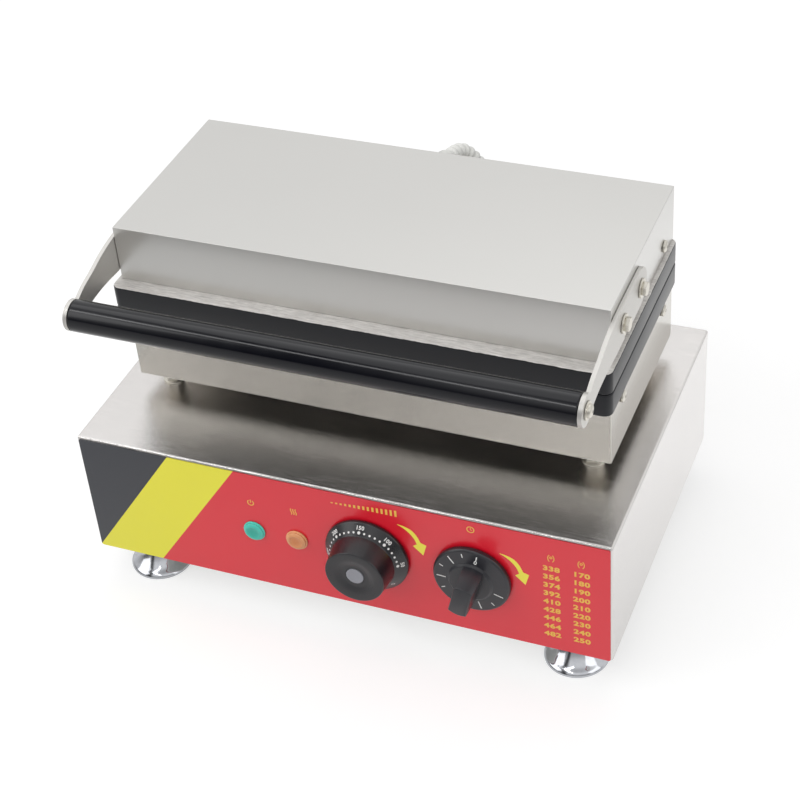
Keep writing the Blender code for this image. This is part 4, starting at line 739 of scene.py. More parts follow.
def rounded_rectangle(low, high, corner, steps=6):
    """Corner points of a rectangle with round corners, anticlockwise."""
    out = []
    for cx, cy, start in (
        (high[0] - corner, high[1] - corner, 0), (low[0] + corner, high[1] - corner, 90),
        (low[0] + corner, low[1] + corner, 180), (high[0] - corner, low[1] + corner, 270),
    ):
        for k in range(steps + 1):
            a = math.radians(start + 90 * k / steps)
            out.append((cx + corner * math.cos(a), cy + corner * math.sin(a)))
    return out


def stacked(bm, rings):
    """Walls between outlines that lie one over the other, closed below and above."""
    for lower, upper in zip(rings, rings[1:]):
        for i in range(len(lower)):
            j = (i + 1) % len(lower)
            bm.faces.new((lower[i], lower[j], upper[j], upper[i]))
    bm.faces.new(rings[0][::-1])
    bm.faces.new(rings[-1])


def raised(bm, outline, matrix, low, high):
    """A flat outline as a thin closed plate between two levels."""
    stacked(bm, [
        [bm.verts.new(matrix @ Vector((x, y, z))) for x, y in outline] for z in (low, high)
    ])


def make_film():
    low, high = corners("front_overlay")
    bm, holes = bmesh.new(), bmesh.new()
    edge = rounded_rectangle((low.x, low.z), (high.x, high.z), FILM_CORNER)
    raised(bm, edge, FRONT, -high.y, -low.y)
    panel_holes(holes, OVERRUN)
    obj = new_object("film", finished(bm, "film"))
    mesh = machined(obj, "front_film", SHEET_SHARP, [holes])
    piece("front_film", mesh, "base", printed_film(), ["front_overlay"])


make_film()


# The prints on the film: yellow numbers in two columns, two bent arrows and plain signs.
# They are ink, a few hundredths of a millimetre thick, printed over the red.
INK_LEVELS = (-0.02 * MM, 0.05 * MM)
INK_SHARP = 30.0
COLUMNS = ((161.4 * MM, 338, 18), (182.9 * MM, 170, 10))  # place, first number, step
COLUMN_ROWS = 9
COLUMN_TOP = -30.0 * MM
COLUMN_PITCH = 7.9 * MM
COLUMN_LETTER = 5.9 * MM
COLUMN_WEIGHT = 0.24 * MM
COLUMN_STRETCH = 1.3
FIGURE_SPACING = 1.1
HEADER_RISE = 10.0 * MM
ARROW_TAILS = ((48.9 * MM, -18.8 * MM), (124.4 * MM, -25.6 * MM))
# An arrow's edge, in millimetres from its tail: its upper side, its head and its lower side.
ARROW_UPPER = ((0.0, 0.2), (5.4, -0.8), (10.2, -2.9), (13.9, -7.1), (16.6, -13.2))
ARROW_HEAD = ((20.9, -14.7), (18.0, -24.8), (10.6, -17.6))
ARROW_LOWER = ((13.7, -15.3), (11.7, -10.2), (8.2, -5.7), (4.3, -2.4), (0.0, -0.2))
LAMP_SIGN_RISE = -28.5 * MM
DIAL_SIGN_RISE = -9.0 * MM
SIGN_SIZE = 5.6 * MM
# A sign is rings (centre, radius, width, start, end, steps), strokes (start, end, width) and
# waving bands (points, half a width), all in shares of its size.
POWER_SIGN = ([((0, 0), 0.42, 0.13, 125, 415, 30)], [((0, 0), (0, 0.5), 0.13)], [])
CLOCK_SIGN = (
    [((0, 0), 0.46, 0.12, 0, 360, 40)], [((0, 0), (0, 0.32), 0.1), ((0, 0), (0.22, -0.1), 0.1)], [],
)
DEGREE_SIGN = (
    [((0, 0.12), 0.14, 0.1, 0, 360, 20), ((0.42, 0), 0.8, 0.1, 140, 220, 10),
     ((-0.42, 0), 0.8, 0.1, -40, 40, 10)], [], [],
)
HEAT_SIGN = ([], [], [
    ([(k * 0.32 + 0.07 * math.sin(2 * math.pi * i / 12), i / 12 - 0.5) for i in range(13)], 0.065)
    for k in (-1, 0, 1)
])
LEVEL_BARS = 15
LEVEL_SIGN = ([], [
    ((x, -0.5), (x, -0.5 + 0.16 + 0.84 * i / (LEVEL_BARS - 1)), 0.3)
    for i in range(LEVEL_BARS) for x in ((i - (LEVEL_BARS - 1) / 2) * 0.62,)
], [])


def printed(bm, at, outline):
    """A flat outline as a layer of ink."""
    raised(bm, outline, at, *INK_LEVELS)


def ring(bm, at, centre, radius, width, start=0.0, end=360.0, steps=40):
    """A printed ring, or a bent stroke of one width."""
    outer, inner = [], []
    for k in range(steps + 1):
        a = math.radians(start + (end - start) * k / steps)
        way = Vector((math.cos(a), math.sin(a)))
        outer.append(Vector(centre) + way * (radius + width / 2))
        inner.append(Vector(centre) + way * (radius - width / 2))
    if end - start < 360:
        return printed(bm, at, outer + inner[::-1])
    for k in range(steps):
        printed(bm, at, [outer[k], outer[k + 1], inner[k + 1], inner[k]])


def stroke(bm, at, start, end, width):
    """A printed straight stroke of one width."""
    start, end = Vector(start), Vector(end)
    side = (end - start).normalized().orthogonal() * (width / 2)
    printed(bm, at, [start + side, start - side, end - side, end + side])


def figures(bm, at, text, size, weight, stretch=1.0):
    """Printed figures, centred on their place."""
    low, high = INK_LEVELS
    curve = bpy.data.curves.new("figures", "FONT")
    curve.body = text
    curve.size = size
    curve.align_x = "CENTER"
    curve.align_y = "CENTER"
    curve.resolution_u = 4
    curve.offset = weight
    curve.space_character = FIGURE_SPACING
    curve.extrude = (high - low) / 2
    mesh = final_mesh(new_object("figures", curve), "figures")
    lift = Matrix.Translation((0, 0, (high + low) / 2))
    mesh.transform(at @ lift @ Matrix.Diagonal((stretch, 1, 1, 1)))
    bm.from_mesh(mesh)
    bpy.data.meshes.remove(mesh)


def sign(bm, at, size, rings, strokes, bands):
    for centre, radius, width, start, end, steps in rings:
        ring(bm, at, Vector(centre) * size, radius * size, width * size, start, end, steps)
    for start, end, width in strokes:
        stroke(bm, at, Vector(start) * size, Vector(end) * size, width * size)
    for line, half in bands:
        left, right = ([((x + side * half) * size, y * size) for x, y in line] for side in (-1, 1))
        printed(bm, at, left[::-1] + right)


def at_front(x, z):
    """A place on the film's face; its Z looks to the front."""
    return Matrix.Translation((x, panel_y, z)) @ FRONT


def ink(name, colour):
    finish = Finish(name, Specular_IOR_Level=0.4)
    dots = finish.noise(3800.0, detail=2.0)
    wear = finish.noise(700.0)
    shade = finish.spread(dots * 0.6 + wear * 0.4, colour, 0.86, 1.0)
    return finish.coat(shade, dots * 0.16 + 0.36, dots, 0.1, 0.01)


def print_film():
    prints, arrows = bmesh.new(), bmesh.new()
    for x, first, step in COLUMNS:
        sign(prints, at_front(x, deck_z + COLUMN_TOP + HEADER_RISE), COLUMN_LETTER, *DEGREE_SIGN)
        for row in range(COLUMN_ROWS):
            at = at_front(x, deck_z + COLUMN_TOP - row * COLUMN_PITCH)
            number = str(first + row * step)
            figures(prints, at, number, COLUMN_LETTER, COLUMN_WEIGHT, COLUMN_STRETCH)
    for node, rise, form in (
        ("power_lamp_lens", LAMP_SIGN_RISE, POWER_SIGN),
        ("heat_lamp_lens", LAMP_SIGN_RISE, HEAT_SIGN),
        ("thermostat_shaft", DIAL_SIGN_RISE, LEVEL_SIGN),
        ("timer_shaft", DIAL_SIGN_RISE, CLOCK_SIGN),
    ):
        sign(prints, at_front(middle(node).x, deck_z + rise), SIGN_SIZE, *form)
    outline = [*smooth_line(ARROW_UPPER, 5), *ARROW_HEAD, *smooth_line(ARROW_LOWER, 5)]
    for x, z in ARROW_TAILS:
        printed(arrows, at_front(x, deck_z + z), [(px * MM, py * MM) for px, py in outline[::-1]])
    for name, bm, coat in (
        ("film_prints", prints, ink("amber_ink", tint(250, 202, 92))),
        ("film_arrows", arrows, ink("yellow_ink", tint(255, 242, 92))),
    ):
        piece(name, finished(bm, name, INK_SHARP), "base", coat)


print_film()


# The pilot lamps: a green and an orange lens of clear coloured plastic, each with a pale lamp
# body behind that is held by a nut. Rings inside the lens spread the light.
GAP = 0.3 * MM
LAMP_SIDES = 64
# The lens's face from its middle outwards: radius in millimetres, and height as a share.
LENS_RINGS = ((0.0, 3.3), (2.2, 3.35), (3.6, 3.45), (4.5, 3.5), (4.9, 3.85), (5.4, 3.9), (6.1, 3.5))
LENS_SHOULDER = ((7.6 * MM, 2.6 * MM, 0.5 * MM), (7.6 * MM, 1.4 * MM))
LENS_RIM = 1.3 * MM
LENS_SHARP = 50.0
EASE = 0.3 * MM


def tinted_plastic(name, colour, light):
    """Clear coloured plastic: paler at its edge, deeper in the middle, with a glossy skin."""
    finish = Finish(name, Specular_IOR_Level=0.6)
    out = finish.add("ShaderNodeAttribute", {"attribute_name": "from_axis"}, output="Fac")
    flow = finish.noise(420.0, detail=2.0)
    shade = finish.mix((out ** 2.0 * 0.8 + flow * 0.25).clamped(), colour, light)
    return finish.paint(Base_Color=shade, Roughness=flow * 0.08 + 0.1)


def make_lens(node, colour, light):
    low, high = corners(node)
    centre, radius = middle(node), (high.x - low.x) / 2
    top = (high.y - low.y + GAP) / max(height for _, height in LENS_RINGS)
    profile = eased([
        *[(out * MM, height * top) for out, height in LENS_RINGS], *LENS_SHOULDER,
        (radius, LENS_RIM, EASE), (radius, GAP), (0, GAP),
    ])
    name = node.replace("_lens", "_cover")
    mesh = finished(spun(profile, LAMP_SIDES, at_front(centre.x, centre.z)), name, LENS_SHARP)
    from_axis = mesh.attributes.new("from_axis", "FLOAT", "POINT")
    for vert, value in zip(mesh.vertices, from_axis.data):
        value.value = math.hypot(vert.co.x - centre.x, vert.co.z - centre.z) / radius
    piece(name, mesh, "base", tinted_plastic(name + "_plastic", colour, light), [node])


def moulded(name, colour, roughness, grain=1800.0, depth=0.15, gloss=0.5):
    """Moulded plastic: a fine even grain, slow changes of gloss and faint scuffs."""
    finish = Finish(name, Specular_IOR_Level=gloss)
    fine = finish.noise(grain, detail=2.0)
    clouds = finish.noise(45.0)
    shade = finish.spread(fine * 0.4 + clouds * 0.6, colour, 0.84, 1.16)
    rough = fine.swing(0.12) + clouds.swing(0.14) + roughness
    return finish.coat(shade, rough.clamped(), fine, depth, 0.05)


make_lens("power_lamp_lens", tint(20, 160, 142), tint(96, 222, 204))
make_lens("heat_lamp_lens", tint(204, 118, 62), tint(240, 180, 130))
dress(moulded("lamp_plastic", tint(222, 222, 214), 0.4), "power_lamp_body", "heat_lamp_body")


# The thermostat's knob: moulded in black, a tall round cap on a sloping skirt.
# White dots and numbers are printed on the skirt; the cap's face is dished, with a plain disc.
KNOB_SIDES = 120
KNOB_SHARP = 32.0
SKIRT_SLOPE = ((32.0 * MM, 3.5 * MM), (24.2 * MM, 10.1 * MM))
CAP_TOP = 26.7 * MM
CAP_RADIUS = 22.3 * MM
CAP_RIM = 0.9 * MM
DISH = ((8.4, 1.9), (10.4, 1.7), (12.6, 1.0), (15.5, 0.25), (19.5, 0.0))  # radius, drop, in mm
KNOB_BACK = 1.5 * MM
SHAFT_HOLE = 3.3 * MM
SHAFT_DEPTH = 12.0 * MM
DISC_SEAT = 3.1 * MM
DISC_HOLE = 6.9 * MM
DISC_DISH = (0.62, 0.72, 0.25 * MM)  # where its dish ends and its rim starts, and its drop
DOT_RING = 26.3 * MM
DOT_ANGLES = (85.9, -137.0)
DOTS = 26
DOT_SIZES = (0.8 * MM, 1.15 * MM)
DOT_SIDES = 16
DOTS_PER_NUMBER = 5
NUMBER_RING = 28.9 * MM
NUMBER_ANGLES = (85.9, 41.4, -2.5, -48.2, -92.7, -137.0)
NUMBER_STEP = 50
NUMBER_SIZE = 4.0 * MM
NUMBER_WEIGHT = 0.12 * MM
OFF_PLACE = (27.5 * MM, 131.0)
OFF_RING = (1.2 * MM, 0.45 * MM)
BORE = (
    (SHAFT_HOLE, KNOB_BACK), (SHAFT_HOLE, KNOB_BACK + SHAFT_DEPTH), (0, KNOB_BACK + SHAFT_DEPTH),
)


def on_slope(centre, slope, out, angle):
    """A place on a dial's slope, clockwise from its top; its Y is outward and its Z off it."""
    (outer, low), (inner, high) = slope
    lean = math.atan2(high - low, outer - inner)
    height = low + (outer - out) * math.tan(lean)
    a = math.radians(angle)
    across = Vector((math.cos(a), 0, -math.sin(a)))
    away = Vector((math.sin(a) * math.cos(lean), math.sin(lean), math.cos(a) * math.cos(lean)))
    turn = Matrix((across, away, across.cross(away))).transposed().to_4x4()
    place = Vector((centre.x + out * math.sin(a), panel_y - height, centre.z + out * math.cos(a)))
    return Matrix.Translation(place) @ turn


def make_thermostat_knob():
    centre = middle("thermostat_shaft")
    at = at_front(centre.x, centre.z)
    rim, neck = SKIRT_SLOPE
    dish = smooth_line([(out * MM, CAP_TOP - drop * MM) for out, drop in DISH], 4)
    dish_floor = CAP_TOP - DISH[0][1] * MM
    profile = eased([
        (0, CAP_TOP - DISC_SEAT), (DISC_HOLE, CAP_TOP - DISC_SEAT),
        (DISC_HOLE, dish_floor, 0.2 * MM), *dish, (CAP_RADIUS, CAP_TOP, CAP_RIM),
        (*neck, 0.5 * MM), (*rim, 0.8 * MM), (rim[0], KNOB_BACK), *BORE,
    ])
    mesh = finished(spun(profile, KNOB_SIDES, at), "thermostat_dial_knob", KNOB_SHARP)
    black = moulded("knob_plastic", tint(24, 24, 29), 0.3, gloss=0.75)
    piece("thermostat_dial_knob", mesh, "thermostat_dial", black, ["thermostat_knob"])


def print_thermostat_knob():
    centre = middle("thermostat_shaft")
    marks = bmesh.new()
    first, last = DOT_ANGLES
    for i in range(DOTS):
        angle = first + (last - first) * i / (DOTS - 1)
        radius = DOT_SIZES[0 if i % DOTS_PER_NUMBER else 1]
        turns = [2 * math.pi * k / DOT_SIDES for k in range(DOT_SIDES)]
        dot = [(radius * math.cos(a), radius * math.sin(a)) for a in turns]
        printed(marks, on_slope(centre, SKIRT_SLOPE, DOT_RING, angle), dot)
    for i, angle in enumerate(NUMBER_ANGLES, 1):
        at = on_slope(centre, SKIRT_SLOPE, NUMBER_RING, angle)
        figures(marks, at, str(NUMBER_STEP * i), NUMBER_SIZE, NUMBER_WEIGHT)
    ring(marks, on_slope(centre, SKIRT_SLOPE, *OFF_PLACE), (0, 0), *OFF_RING, steps=24)
    mesh = finished(marks, "thermostat_marks", INK_SHARP)
    white = ink("white_ink", tint(240, 240, 238))
    piece("thermostat_marks", mesh, "thermostat_dial", white)


def make_knob_disc():
    centre = middle("thermostat_shaft")
    at = at_front(centre.x, centre.z)
    low, high = corners("thermostat_knob_cap")
    radius, tall, root = (high.x - low.x) / 2, panel_y - low.y, panel_y - high.y
    dish_end, rim_start, drop = DISC_DISH
    profile = eased([
        (0, tall - drop), (radius * dish_end, tall - drop, EASE), (radius * rim_start, tall, EASE),
        (radius, tall, EASE), (radius, root), (0, root),
    ])
    mesh = finished(spun(profile, LAMP_SIDES, at), "knob_disc", KNOB_SHARP)
    satin = moulded("disc_coat", tint(146, 147, 154), 0.34)
    piece("knob_disc", mesh, "thermostat_dial", satin, ["thermostat_knob_cap"])


make_thermostat_knob()
print_thermostat_knob()
make_knob_disc()


# The timer's knob: moulded in black, a flat disc with a bar grip across its raised middle.
# A scale of long and short white strokes runs round the disc from a 0.
TIMER_SLOPE = ((27.2 * MM, 5.4 * MM), (17.0 * MM, 6.1 * MM))
TIMER_RIM = (28.6 * MM, 4.2 * MM)
BOSS = (15.2 * MM, 7.7 * MM)
GRIP_TURN = 15.0
GRIP_FOOT = (15.2 * MM, 31.0 * MM)
GRIP_HEAD = (13.5 * MM, 26.2 * MM)
GRIP_LEVELS = (  # height, share of the way from the head's size to the foot's, inset
    (4.0 * MM, 1.0, 0.0),
    (27.1 * MM, 0.0, 0.0),
    (27.65 * MM, 0.0, 0.3 * MM),
    (28.0 * MM, 0.0, 0.9 * MM),
)
GRIP_CROWN = 1.5 * MM
GRIP_STEPS = 8
TIMER_ZERO = 13.0
TIMER_STEP = -26.1
TIMER_STEPS = 10
ZERO_STROKE = (21.6 * MM, 25.2 * MM, 0.85 * MM)  # inner end, outer end, width
SHORT_STROKE = (22.0 * MM, 25.2 * MM, 0.75 * MM)
LONG_STROKE = (18.4 * MM, 25.5 * MM, 0.85 * MM)
ZERO_RING = 19.6 * MM
ZERO_SIZE = 4.6 * MM
ZERO_WEIGHT = 0.1 * MM


def grip_outline(width, length):
    """A bar's outline: straight sides and ends that bulge."""
    out = []
    for end in (1, -1):
        for k in range(GRIP_STEPS + 1):
            share = 1 - 2 * k / GRIP_STEPS
            out.append((end * share * width / 2, end * (length / 2 - GRIP_CROWN * share ** 2)))
    return out


def make_timer_knob():
    centre = middle("timer_shaft")
    at = at_front(centre.x, centre.z)
    edge, boss = TIMER_SLOPE
    profile = eased([
        (0, BOSS[1]), (*BOSS, 0.5 * MM), (*boss, 0.4 * MM), (*edge, 0.6 * MM),
        (*TIMER_RIM, 0.6 * MM), (TIMER_RIM[0], KNOB_BACK), *BORE,
    ])
    obj = new_object("timer_disc", finished(spun(profile, KNOB_SIDES, at), "timer_disc"))
    turn = at @ Matrix.Rotation(math.radians(-GRIP_TURN), 4, "Z")
    grip, bore = bmesh.new(), bmesh.new()
    rings = []
    for height, share, inset in GRIP_LEVELS:
        size = [between(share, head, foot) - 2 * inset for head, foot in zip(GRIP_HEAD, GRIP_FOOT)]
        outline = grip_outline(*size)
        rings.append([grip.verts.new(turn @ Vector((x, y, height))) for x, y in outline])
    stacked(grip, rings)
    add_rod(bore, SHAFT_HOLE, at @ Vector((0, 0, 0)), at @ Vector((0, 0, KNOB_BACK + SHAFT_DEPTH)))
    mesh = machined(obj, "timer_dial_knob", KNOB_SHARP, [bore], grip)
    black = moulded("timer_plastic", tint(34, 34, 40), 0.36, gloss=0.75)
    piece("timer_dial_knob", mesh, "timer_dial", black, ["timer_knob"])


def print_timer_knob():
    centre = middle("timer_shaft")
    marks = bmesh.new()
    at = on_slope(centre, TIMER_SLOPE, ZERO_RING, TIMER_ZERO)
    figures(marks, at, "0", ZERO_SIZE, ZERO_WEIGHT)
    for i in range(TIMER_STEPS + 1):
        low, high, width = (SHORT_STROKE if i % 2 else LONG_STROKE) if i else ZERO_STROKE
        out = (low + high) / 2
        at = on_slope(centre, TIMER_SLOPE, out, TIMER_ZERO + TIMER_STEP * i)
        stroke(marks, at, (0, low - out), (0, high - out), width)
    mesh = finished(marks, "timer_marks", INK_SHARP)
    piece("timer_marks", mesh, "timer_dial", ink("timer_ink", tint(236, 236, 234)))


make_timer_knob()
print_timer_knob()


# Behind the panel: the thermostat and the timer in their plastic cases, and both knobs' shafts.
# They are fixed by their bushes; the mains terminals stand on the bottom plate.
def plated(name, colour, roughness):
    """Plate or bare metal on small turned pieces: bright, a little warm, with dull specks."""
    finish = Finish(name, Metallic=1.0)
    specks = finish.noise(1300.0)
    clouds = finish.noise(160.0, detail=2.0)
    shade = finish.spread(specks * 0.5 + clouds * 0.5, colour, 0.82, 1.12)
    rough = specks.swing(0.2) + clouds.swing(0.12) + roughness
    return finish.coat(shade, rough.clamped(), specks, 0.15, 0.03)


zinc = plated("zinc_plate", tint(226, 222, 212), 0.38)
dress(zinc, "thermostat_shaft", "timer_shaft")
dress(moulded("case_plastic", tint(44, 45, 48), 0.5), "thermostat_body", "timer_body")
dress(moulded("terminal_plastic", tint(226, 224, 212), 0.45), "terminal_block")


# The mains gland: a black nylon gland in the rear wall, hexagonal at its foot, its cap ribbed.
# Its passage is open, for a cord to be led through and clamped.
BEND_LIMIT = 1.0
EASED_ANGLE = 25.0
GLAND_EASE = 0.35 * MM


def eased_copy(node, name, width, segments=2):
    """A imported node's shape with its doubles merged and its edges rounded by a small width."""
    bm = bmesh.new()
    bm.from_mesh(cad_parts[node].data)
    bmesh.ops.remove_doubles(bm, verts=bm.verts, dist=WELD)
    bmesh.ops.dissolve_limit(
        bm, angle_limit=math.radians(BEND_LIMIT), verts=bm.verts, edges=bm.edges, delimit={"NORMAL"}
    )
    obj = new_object(name, mesh_of(bm, name + "_base"))
    add_bevel(obj, width, segments, EASED_ANGLE)
    return weighted(settled(obj, name, SHARP), name)


nylon = moulded("gland_nylon", tint(52, 53, 56), 0.46)
gland_mesh = eased_copy("mains_gland", "cord_gland", GLAND_EASE)
piece("cord_gland", gland_mesh, "base", nylon, ["mains_gland"])


# The pillars: four plated studs between the deck and the tray, each with a hexagonal collar and a
# washer under the tray. They are screwed into pressed nuts, and a nut on the deck locks each.
PILLAR_SIDES = 32
PILLAR_STUD = 3.5 * MM
PILLAR_TIP = 0.4 * MM
PILLAR_WASHER = (8.6 * MM, 1.4 * MM)  # radius and height
PILLAR_HEX = (7.4 * MM, 7.0 * MM)
LOCK_NUT = (7.2 * MM, 3.9 * MM)
LOCK_WASHER = (8.4 * MM, 1.0 * MM)
HEX_EASE = 0.8 * MM
HEX_STEPS = 36
HEX_SEAT = 0.05 * MM
HEX_TURNED = 0.985  # the radius of its turned ends, as a share of the way to its flats
THREAD_PITCH = 1.25 * MM
THREAD_DEPTH = 0.28 * MM
BOLT_SHARP = 28.0


def add_hexagon(bm, across, low, high, ease):
    """A hexagonal nut whose corners are turned off at both ends; across is to its corners."""
    flat = across * math.cos(math.pi / 6)
    rings = []
    for height, limit in ((low, flat), (low + ease, across), (high - ease, across), (high, flat)):
        outline = []
        for k in range(HEX_STEPS):
            a = 2 * math.pi * k / HEX_STEPS
            side = (k % 6) * math.pi / 18 - math.pi / 6
            reach = min(flat / math.cos(side), limit if limit > flat else limit * HEX_TURNED)
            outline.append(bm.verts.new((reach * math.cos(a), reach * math.sin(a), height)))
        rings.append(outline)
    stacked(bm, rings)


def threaded(radius, low, high):
    """Points down the side of a threaded stretch, as a row of ridges."""
    count = max(1, int((high - low) / THREAD_PITCH))
    pitch = (high - low) / count
    out = []
    for i in range(count):
        top = high - i * pitch
        out += [(radius - THREAD_DEPTH, top), (radius, top - pitch * 0.5)]
    return out + [(radius - THREAD_DEPTH, low)]


def make_pillars():
    low, high = corners(PILLARS[0])
    top = corners("lower_housing")[0].z - GAP
    washer, thick = PILLAR_WASHER
    under = top - thick
    collar, collar_height = PILLAR_HEX
    lock_washer, lock_thick = LOCK_WASHER
    nut, nut_height = LOCK_NUT
    seat, nut_low, nut_top = deck_z + GAP / 2, deck_z + lock_thick, deck_z + lock_thick + nut_height
    bm = spun(eased([
        (0, high.z), (PILLAR_STUD - PILLAR_TIP, high.z),
        *threaded(PILLAR_STUD, top + MM, high.z - MM), (PILLAR_STUD, top),
        (washer, top, 0.25 * MM), (washer, under, 0.25 * MM), (PILLAR_STUD, under),
        *threaded(PILLAR_STUD, nut_top, under - MM), (PILLAR_STUD, nut_top - MM),
        (lock_washer, nut_low, 0.2 * MM), (lock_washer, seat, 0.2 * MM), (PILLAR_STUD, seat),
        (PILLAR_STUD, low.z + MM), (PILLAR_STUD - PILLAR_TIP, low.z), (0, low.z),
    ]), PILLAR_SIDES)
    add_hexagon(bm, collar, under - collar_height, under - HEX_SEAT, HEX_EASE)
    add_hexagon(bm, nut, nut_low + HEX_SEAT, nut_top, HEX_EASE)
    shape = finished(bm, "pillar_form", BOLT_SHARP)
    places = [((*middle(node).xy, 0.0), (0.0, 0.0, 0.2 + i)) for i, node in enumerate(PILLARS)]
    mesh = set_on_places("pillars", shape, places, zinc, BOLT_SHARP)
    piece("pillars", mesh, "base", zinc, PILLARS)


make_pillars()


# The tray: the lower housing, folded of brushed steel and open above, with the lower plate in it.
# Nuts are pressed into its floor for the pillars; its sides take the plate's screws.
HOUSING_SHEET = 1.2 * MM
HOUSING_FOLD = 0.8 * MM
SIDE_SCREW_HOLE = 2.8 * MM
HOLE_SIDES = 24


def numbered(name, count=4):
    return ["%s_%d" % (name, i + 1) for i in range(count)]


LOWER_SCREWS = numbered("lower_plate_screw")


def side_holes(bm, nodes, radius, half):
    """Holes through both side walls where the screws pass."""
    inside, outside = half - HOUSING_SHEET - OVERRUN, half + OVERRUN
    for place in map(middle, nodes):
        side = math.copysign(1, place.x)
        add_bore(bm, radius, place, "x", side * inside, side * outside, HOLE_SIDES)


def make_tray():
    low, high = corners("lower_housing")
    obj = folded_shell(low, high, 1, HOUSING_SHEET, HOUSING_FOLD)
    nuts, holes = bmesh.new(), bmesh.new()
    floor, below = low.z + HOUSING_SHEET, low.z - OVERRUN
    for place in map(middle, PILLARS):
        nut_top = floor + NUT_HEIGHT
        add_bore(nuts, NUT_RADIUS, place, "z", floor - HOUSING_SHEET / 2, nut_top)
        add_bore(holes, PILLAR_HOLE, place, "z", below, nut_top + OVERRUN)
    add_bore(holes, CAPILLARY_HOLE, capillary_place, "z", below, floor + OVERRUN)
    side_holes(holes, LOWER_SCREWS, SIDE_SCREW_HOLE, high.x)
    mesh = weighted(machined(obj, "tray", SHEET_SHARP, [holes], nuts), "tray")
    # Painted shade: this steel is tinted darker than the lid's, which is the same metal, for the
    # shade and darker reflections on the tray's front.
    steel = brushed_steel("tray_steel", tint(203, 200, 193), 0.22, 0.012, 0.0)
    piece("tray", mesh, "base", steel, ["lower_housing"])


make_tray()


# Inside both housings: a pad of felted mineral fibre and a bent tubular heater under each plate.
# The thermostat's copper capillary ends in a bulb under the lower plate.
def fibre_pad():
    finish = Finish("mineral_fibre", Specular_IOR_Level=0.1)
    strands = finish.noise(900.0, (0.2, 1.0, 1.0), 4.0)
    crossing = finish.noise(700.0, (1.0, 0.25, 1.0), 4.0)
    level = strands * 0.4 + crossing * 0.3 + finish.noise(60.0) * 0.3
    shade = finish.mix(level.clamped(), tint(188, 182, 164), tint(240, 236, 222))
    return finish.coat(shade, 0.95, level, 0.7, 0.4)


def oxidised_tube():
    finish = Finish("heater_sheath", Metallic=0.9)
    bands = finish.noise(90.0, (0.4, 1.0, 1.0))
    specks = finish.noise(1500.0)
    level = bands * 0.7 + specks * 0.3
    shade = finish.mix(level.clamped(), tint(62, 60, 62), tint(132, 122, 112))
    return finish.paint(Base_Color=shade, Roughness=specks * 0.3 + 0.35)


dress(fibre_pad(), "lower_insulation", "upper_insulation")
dress(oxidised_tube(), "lower_heater", "upper_heater")
dress(plated("drawn_copper", tint(205, 142, 106), 0.34), "thermostat_capillary")


# The plates: two cast aluminium plates with a dark non-stick coat. Each has a shallow bed with
# staggered round pockets, and lugs on its back for the side screws. The upper one's back is bare.
UPPER_SCREWS = numbered("upper_plate_screw")
ARM_BOLTS = numbered("arm_bolt")
LOWER_THICK = 18.2 * MM
UPPER_THICK = 17.3 * MM
BED_DEPTH = 3.0 * MM
BED_RIM = 12.5 * MM
BED_CORNER = 8.0 * MM
BED_EASE = 1.0 * MM
POCKET_RADIUS = 12.0 * MM
POCKET_DEPTH = 9.0 * MM
POCKET_RIM = 0.6 * MM
POCKET_EASE = 1.3 * MM
POCKET_LIP = ((0.25, -0.22 * MM), (0.6, -0.05 * MM), (1.0, 0.02 * MM), (1.0, BED_DEPTH / 2))
POCKET_PITCH = (30.0 * MM, 26.0 * MM)
POCKET_EDGE = 3.5 * MM
POCKET_SIDES = 28
POCKET_STEPS = 10
PLATE_CORNER = 6.0 * MM
PLATE_CORNER_LEAST = 0.2 * MM
PLATE_EASE = 1.2 * MM
PLATE_CURVE = 5
PLATE_SHARP = 38.0
LUG_THICKNESS = 7.0 * MM
LUG_HALF = 8.0 * MM
LUG_DROP = 6.5 * MM
ARM_BOLT_HOLE = 3.3 * MM
BARE_INSET = 0.5 * MM
BARE_RAGGED = 0.8 * MM
BARE_EDGE = 6000.0  # how sharply the coat ends: its share to the metre


def quarter(ease):
    """(Height, inset) points of a rounded edge, from its flat inwards."""
    turns = [math.pi / 2 * k / PLATE_CURVE for k in range(PLATE_CURVE + 1)]
    return [(ease * (1 - math.sin(a)), ease * (1 - math.cos(a))) for a in turns]


def rounded_block(bm, low, high, corner, ease_low, ease_high):
    """A block with round corners whose lower and upper edges are rounded by their own radii."""
    lower = quarter(ease_low)[::-1] if ease_low else [(0.0, 0.0)]
    upper = quarter(ease_high) if ease_high else [(0.0, 0.0)]
    levels = [(low.z + rise, inset) for rise, inset in lower]
    levels += [(high.z - rise, inset) for rise, inset in upper]
    rings = []
    for height, inset in levels:
        start, end = (low.x + inset, low.y + inset), (high.x - inset, high.y - inset)
        outline = rounded_rectangle(start, end, max(corner - inset, PLATE_CORNER_LEAST))
        rings.append([bm.verts.new((x, y, height)) for x, y in outline])
    stacked(bm, rings)


def pocket_places(low, high):
    """Pocket centres in staggered rows, as many as the bed holds."""
    margin = 2 * (BED_RIM + POCKET_EDGE + POCKET_RADIUS)
    pitch, row_pitch = POCKET_PITCH
    rows = int((high.y - low.y - margin) / row_pitch) + 1
    columns = int((high.x - low.x - margin) / pitch) + 1
    centre = (low + high) / 2
    places = []
    for row in range(rows):
        count = columns - row % 2
        y = centre.y + (row - (rows - 1) / 2) * row_pitch
        places += [(centre.x + (i - (count - 1) / 2) * pitch, y) for i in range(count)]
    return places


